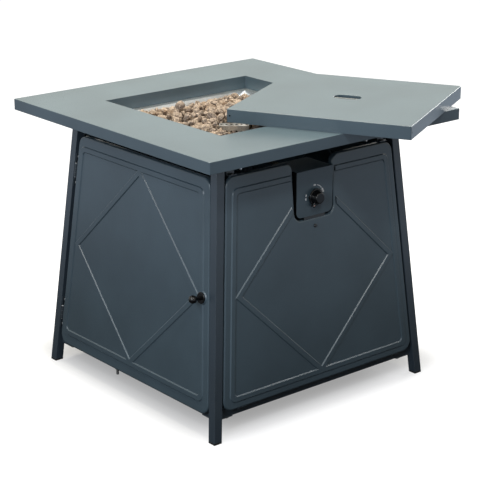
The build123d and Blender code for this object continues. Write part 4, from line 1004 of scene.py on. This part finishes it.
    def _lowest_layer(self, dice: random.Random) -> list[Rock]:
        """Lay an even layer round the burner ring, which closes the gaps between the rocks on top.

        Args:
            dice: the pile's random numbers.

        Returns:
            The layer's rocks.
        """
        room = self.pan_half - self.layer_margin
        pitch = 2 * room / (self.layer_rows - 1)
        shift = self.layer_shift_mm
        layer: list[Rock] = []
        for row in range(self.layer_rows):
            for column in range(self.layer_rows):
                x = column * pitch - room + dice.uniform(-shift, shift) * MM
                y = row * pitch - room + dice.uniform(-shift, shift) * MM
                size = self.layer_radius * dice.uniform(*self.layer_spread)
                if self._guard_distance(x, y) > size + self.guard_gap:
                    place = Vector((x, y, self.layer_level))
                    layer.append(Rock(place, size, dice.randrange(SEEDS), False))
        return layer

    def _resting_level(self, rocks: list[Rock], x: float, y: float, size: float) -> float:
        """Level of a dropped rock's centre: on the burner or on the rocks below it.

        Args:
            rocks: the rocks that lie there already.
            x: the dropped rock's X.
            y: the dropped rock's Y.
            size: its radius.

        Returns:
            The level in metres.
        """
        over = max(abs(x), abs(y)) + size * self.slope_share - self.slope_half
        slope = max(0.0, over) * self.slope_rise
        level = self._bed(x, y, size) + size * self.seat + slope
        for other in rocks:
            reach = (size + other.radius) * self.nesting
            flat = (other.centre.x - x) ** 2 + (other.centre.y - y) ** 2
            if flat < reach * reach:
                level = max(level, other.centre.z + math.sqrt(reach * reach - flat))
        return level

    def _bed(self, x: float, y: float, size: float) -> float:
        """Level that a dropped rock lies on where there is none below it.

        Args:
            x: the rock's X.
            y: the rock's Y.
            size: its radius.

        Returns:
            The burner ring's top, or a lower level beside the ring before the guard.
        """
        beside = abs(math.hypot(x, y) - self.ring_radius) > self.ring_half + size * self.beside_share
        return self.ring_top - self.ring_half if beside and self._before_guard(x, y) > 0 else self.ring_top

    def _heap_mesh(self, rocks: list[Rock]) -> bpy.types.Mesh:
        """Join all rocks into one mesh that carries each rock's tone and the painted shade of its creases.

        Args:
            rocks: the rocks.

        Returns:
            The mesh, with two point attributes: each rock's tone, and the painted shade of its creases and
                pits.
        """
        points: list[Vector] = []
        faces: list[tuple[int, ...]] = []
        tones: list[float] = []
        hollow_shades: list[float] = []
        library = {fine: [self.form.build(k, fine) for k in range(self.shapes)] for fine in (True, False)}
        for rock in rocks:
            dice = random.Random(rock.seed)
            verts, polys, painted_shade = library[rock.fine][dice.randrange(self.shapes)]
            angle = dice.uniform(0, FULL_TURN)
            axis = Vector((dice.gauss(0, 1), dice.gauss(0, 1), dice.gauss(0, 1) + 0.01))
            turn = Matrix.Rotation(angle, 3, axis)
            tone = dice.random()
            base = len(points)
            points.extend(turn @ v * rock.radius + rock.centre for v in verts)
            faces.extend(tuple(base + k for k in poly) for poly in polys)
            tones.extend([tone] * len(verts))
            hollow_shades.extend(painted_shade)
        mesh = bpy.data.meshes.new("lava_rocks_loose")
        mesh.from_pydata(points, [], faces)
        mesh.attributes.new("tone", "FLOAT", "POINT").data.foreach_set("value", tones)
        # Painted shade of the creases and pits, for the lava material.
        mesh.attributes.new("hollow_shade", "FLOAT", "POINT").data.foreach_set("value", hollow_shades)
        mesh.shade_smooth()
        mesh.update()
        return mesh


@dataclass
class LooseLid:
    """Lid with its finger slot, the collar round it and the grip bar across it."""

    def dress(self) -> None:
        """Finish the lid's CAD nodes."""
        dress(Use.COAT, "lid", "lid_collar")
        dress(Use.DARK_COAT, "lid_grip")


# ---- studio


@dataclass
class SoftBox:
    """One rectangular soft light."""

    name: str
    place: Point
    target: Point
    size: Span
    power: float
    colour: str = WHITE

    def build(self) -> None:
        """Hang the light and aim it."""
        lamp = bpy.data.lights.new(self.name, "AREA")
        lamp.color = linear(self.colour)[:3]
        lamp.shape = "RECTANGLE"
        lamp.size, lamp.size_y = self.size
        lamp.energy = self.power
        holder = bpy.data.objects.new(self.name, lamp)
        holder.location = self.place
        way = Vector(self.target) - Vector(self.place)
        holder.rotation_euler = way.to_track_quat("-Z", "Y").to_euler()
        bpy.context.scene.collection.objects.link(holder)


@dataclass
class Studio:
    """Pale floor, soft lights and the camera."""

    eye: Point = (-2.17214, -2.62910, 1.43925)
    turn: float = 39.79
    height: float = 18.29
    roll: float = 0.03
    focal_pixels: float = 1554.93
    frame_pixels: float = 480.0
    sensor_mm: float = 36.0
    far_clip: float = 200.0
    floor_half: float = 30.0
    paper_shade: float = 0.30
    # The glow the eye sees is dimmed round the centre below into a painted shadow under the table.
    painted_shadow_level: float = 0.345
    glow_far: float = 1.0
    painted_shadow_fade_start: float = 0.285
    painted_shadow_fade_end: float = 0.44
    painted_shadow_centre: Point = (0.05, 0.06, 0.0)
    sheen_near: float = 0.0
    sheen_far: float = 0.92
    sheen_start: float = 0.80
    sheen_end: float = 2.90
    floor_bounce: float = 0.06
    sheen_colour: str = "#DDECFF"
    air_glow: float = 0.07
    air_colour: str = "#F6EEF2"
    gloss_colour: str = "#FFFDF5"
    boxes: list[SoftBox] = field(default_factory=list)

    def build(self) -> None:
        """Make floor, world, lights and camera."""
        self._floor()
        self._world()
        for box in self.boxes:
            box.build()
        self._camera()
        bpy.context.scene.view_settings.view_transform = "Standard"

    def _floor(self) -> None:
        """Lay a matt pale floor: its paper takes the lamps' real shadow, and its glow, which the eye sees,
        is dimmed round the table into a painted shadow and is near white further out.
        """
        mesh = bpy.data.meshes.new("studio_floor")
        half = self.floor_half
        corners = [(-half, -half, 0), (half, -half, 0), (half, half, 0), (-half, half, 0)]
        mesh.from_pydata(corners, [], [(0, 1, 2, 3)])
        material = bpy.data.materials.new("pale_studio_paper")
        material.use_nodes = True
        tree = material.node_tree
        tree.nodes.clear()
        place = add_node(tree, "NewGeometry").outputs["Position"]
        reach = add_node(tree, "VectorMath", {"operation": "LENGTH"}, i0=place).outputs["Value"]
        path = add_node(tree, "LightPath")
        square = self._square_reach(tree, place)
        span, levels = (self.painted_shadow_fade_start, self.painted_shadow_fade_end), (self.painted_shadow_level, self.glow_far)
        # Painted shadow: the glow the eye sees is low in a rounded square round the table.
        seen = self._rising_glow(tree, square, span, levels, grey(1.0))
        span, levels = (self.sheen_start, self.sheen_end), (self.sheen_near, self.sheen_far)
        mirrored = self._rising_glow(tree, reach, span, levels, linear(self.sheen_colour))
        paper = add_node(tree, "BsdfDiffuse", Color=grey(self.paper_shade))
        dull = add_node(tree, "BsdfDiffuse", Color=grey(self.floor_bounce))
        lit = add_node(tree, "AddShader", i0=paper.outputs[0], i1=seen)
        gloss = add_node(tree, "AddShader", i0=dull.outputs[0], i1=mirrored)
        eye = self._seen_by_eye(tree)
        unlit = add_node(tree, "MixShader", Fac=eye, i1=dull.outputs[0], i2=gloss.outputs[0])
        direct = path.outputs["Is Camera Ray"]
        both = add_node(tree, "MixShader", Fac=direct, i1=unlit.outputs[0], i2=lit.outputs[0])
        add_node(tree, "OutputMaterial", Surface=both.outputs[0])
        floor = new_object("studio_floor", mesh, material)

    def _square_reach(self, tree: Tree, place: Socket) -> Socket:
        """Distance from the painted shadow's centre, measured so that equal distances form rounded squares.

        Args:
            tree: the node tree.
            place: coordinates in metres.

        Returns:
            The fourth root of the length of the offset with its parts raised to the fourth power.
        """
        power = add_node(tree, "VectorMath", {"operation": "SUBTRACT"}, i0=place, i1=self.painted_shadow_centre)
        for _ in range(2):
            power = add_node(
                tree, "VectorMath", {"operation": "MULTIPLY"}, i0=power.outputs[0], i1=power.outputs[0]
            )
        length = add_node(tree, "VectorMath", {"operation": "LENGTH"}, i0=power.outputs[0])
        return add_node(tree, "Math", {"operation": "POWER"}, i0=length.outputs["Value"], i1=0.25).outputs[0]

    def _rising_glow(self, tree: Tree, reach: Socket, span: Span, levels: Span, colour: Colour) -> Socket:
        """Glow of the paper that rises with the distance from the table; seen by the eye, its dim part is a
        painted shadow.

        Args:
            tree: the node tree.
            reach: distance on the floor in metres.
            span: distances at which the glow starts and stops rising.
            levels: strength at those two distances.
            colour: linear colour of the glow.

        Returns:
            The emission shader's output.
        """
        strength = add_node(
            tree, "MapRange", {"interpolation_type": "SMOOTHSTEP"}, Value=reach, From_Min=span[0],
            From_Max=span[1], To_Min=levels[0], To_Max=levels[1],
        )
        return add_node(tree, "Emission", Color=colour, Strength=strength.outputs[0]).outputs[0]

    def _seen_by_eye(self, tree: Tree) -> Socket:
        """Tell what the eye sees directly, in gloss or through glass from what only gives light.

        Args:
            tree: the node tree.

        Returns:
            1 for what is seen, 0 for the rest.
        """
        path = add_node(tree, "LightPath")
        seen = path.outputs["Is Camera Ray"]
        for kind in ("Is Glossy Ray", "Is Transmission Ray"):
            seen = add_node(
                tree, "Math", {"operation": "MAXIMUM"}, i0=seen, i1=path.outputs[kind]
            ).outputs[0]
        return seen

    def _world(self) -> None:
        """White surroundings for the eye, a low even light for the object."""
        world = bpy.data.worlds.new("studio_world")
        world.use_nodes = True
        tree = world.node_tree
        tree.nodes.clear()
        seen = self._seen_by_eye(tree)
        strength = add_node(tree, "MapRange", Value=seen, To_Min=self.air_glow, To_Max=1.0)
        direct = add_node(tree, "LightPath").outputs["Is Camera Ray"]
        colour = grey(1.0)
        for amount, other in ((direct, self.gloss_colour), (seen, self.air_colour)):
            colour = add_node(
                tree, "Mix", IN_COLOUR, Factor=amount, A=linear(other), B=colour
            ).outputs["Result"]
        background = add_node(tree, "Background", Color=colour, Strength=strength.outputs[0])
        add_node(tree, "OutputWorld", Surface=background.outputs[0])
        bpy.context.scene.world = world

    def _camera(self) -> None:
        """Set the camera by turn, height and focal length."""
        lens = bpy.data.cameras.new("camera")
        lens.sensor_width = self.sensor_mm
        lens.lens = self.focal_pixels / self.frame_pixels * lens.sensor_width
        lens.clip_end = self.far_clip
        holder = bpy.data.objects.new("camera", lens)
        turn, height = math.radians(self.turn), math.radians(self.height)
        flat = math.cos(height)
        back = Vector((-math.sin(turn) * flat, -math.cos(turn) * flat, math.sin(height)))
        roll = Matrix.Rotation(math.radians(self.roll), 3, "Z")
        aim = (-back).to_track_quat("-Z", "Y").to_matrix() @ roll
        holder.matrix_world = Matrix.Translation(self.eye) @ aim.to_4x4()
        bpy.context.scene.collection.objects.link(holder)
        bpy.context.scene.camera = holder


def studio_lights() -> list[SoftBox]:
    """Choose the lamps.

    Returns:
        Wide soft boxes overhead and at both sides, and three small ones that rim the beads.
    """
    return [
        SoftBox("overhead", (0.0, 0.35, 2.6), (0.0, 0.1, 0.6), (1.5, 1.5), 87.0, "#FFF8E4"),
        SoftBox("left", (-2.3, -1.2, 1.45), (0.0, 0.0, 0.5), (0.9, 0.9), 31.0, "#E4ECF7"),
        SoftBox("right", (2.6, 0.3, 1.3), (0.0, 0.0, 0.6), (1.2, 1.2), 42.0, WHITE),
        SoftBox("front_high", (-0.56, -1.53, 2.13), (0.0, -0.3, 0.3), (0.25, 0.25), 9.0, WHITE),
        SoftBox("door_high", (-1.75, -0.20, 2.05), (-0.3, 0.0, 0.3), (0.25, 0.25), 7.0, WHITE),
        SoftBox("front_right_high", (1.5, -0.95, 2.0), (0.0, -0.3, 0.3), (0.35, 0.35), 4.0, WHITE),
    ]


def main() -> None:
    """Build and dress every sub-assembly in order, then the studio."""
    logging.basicConfig(level=logging.INFO, format="%(message)s")
    TableFrame().dress()
    Cabinet().dress()
    ControlPanel().dress()
    FireBowl().dress()
    LooseLid().dress()
    Studio(boxes=studio_lights()).build()


if __name__ == "__main__":
    main()
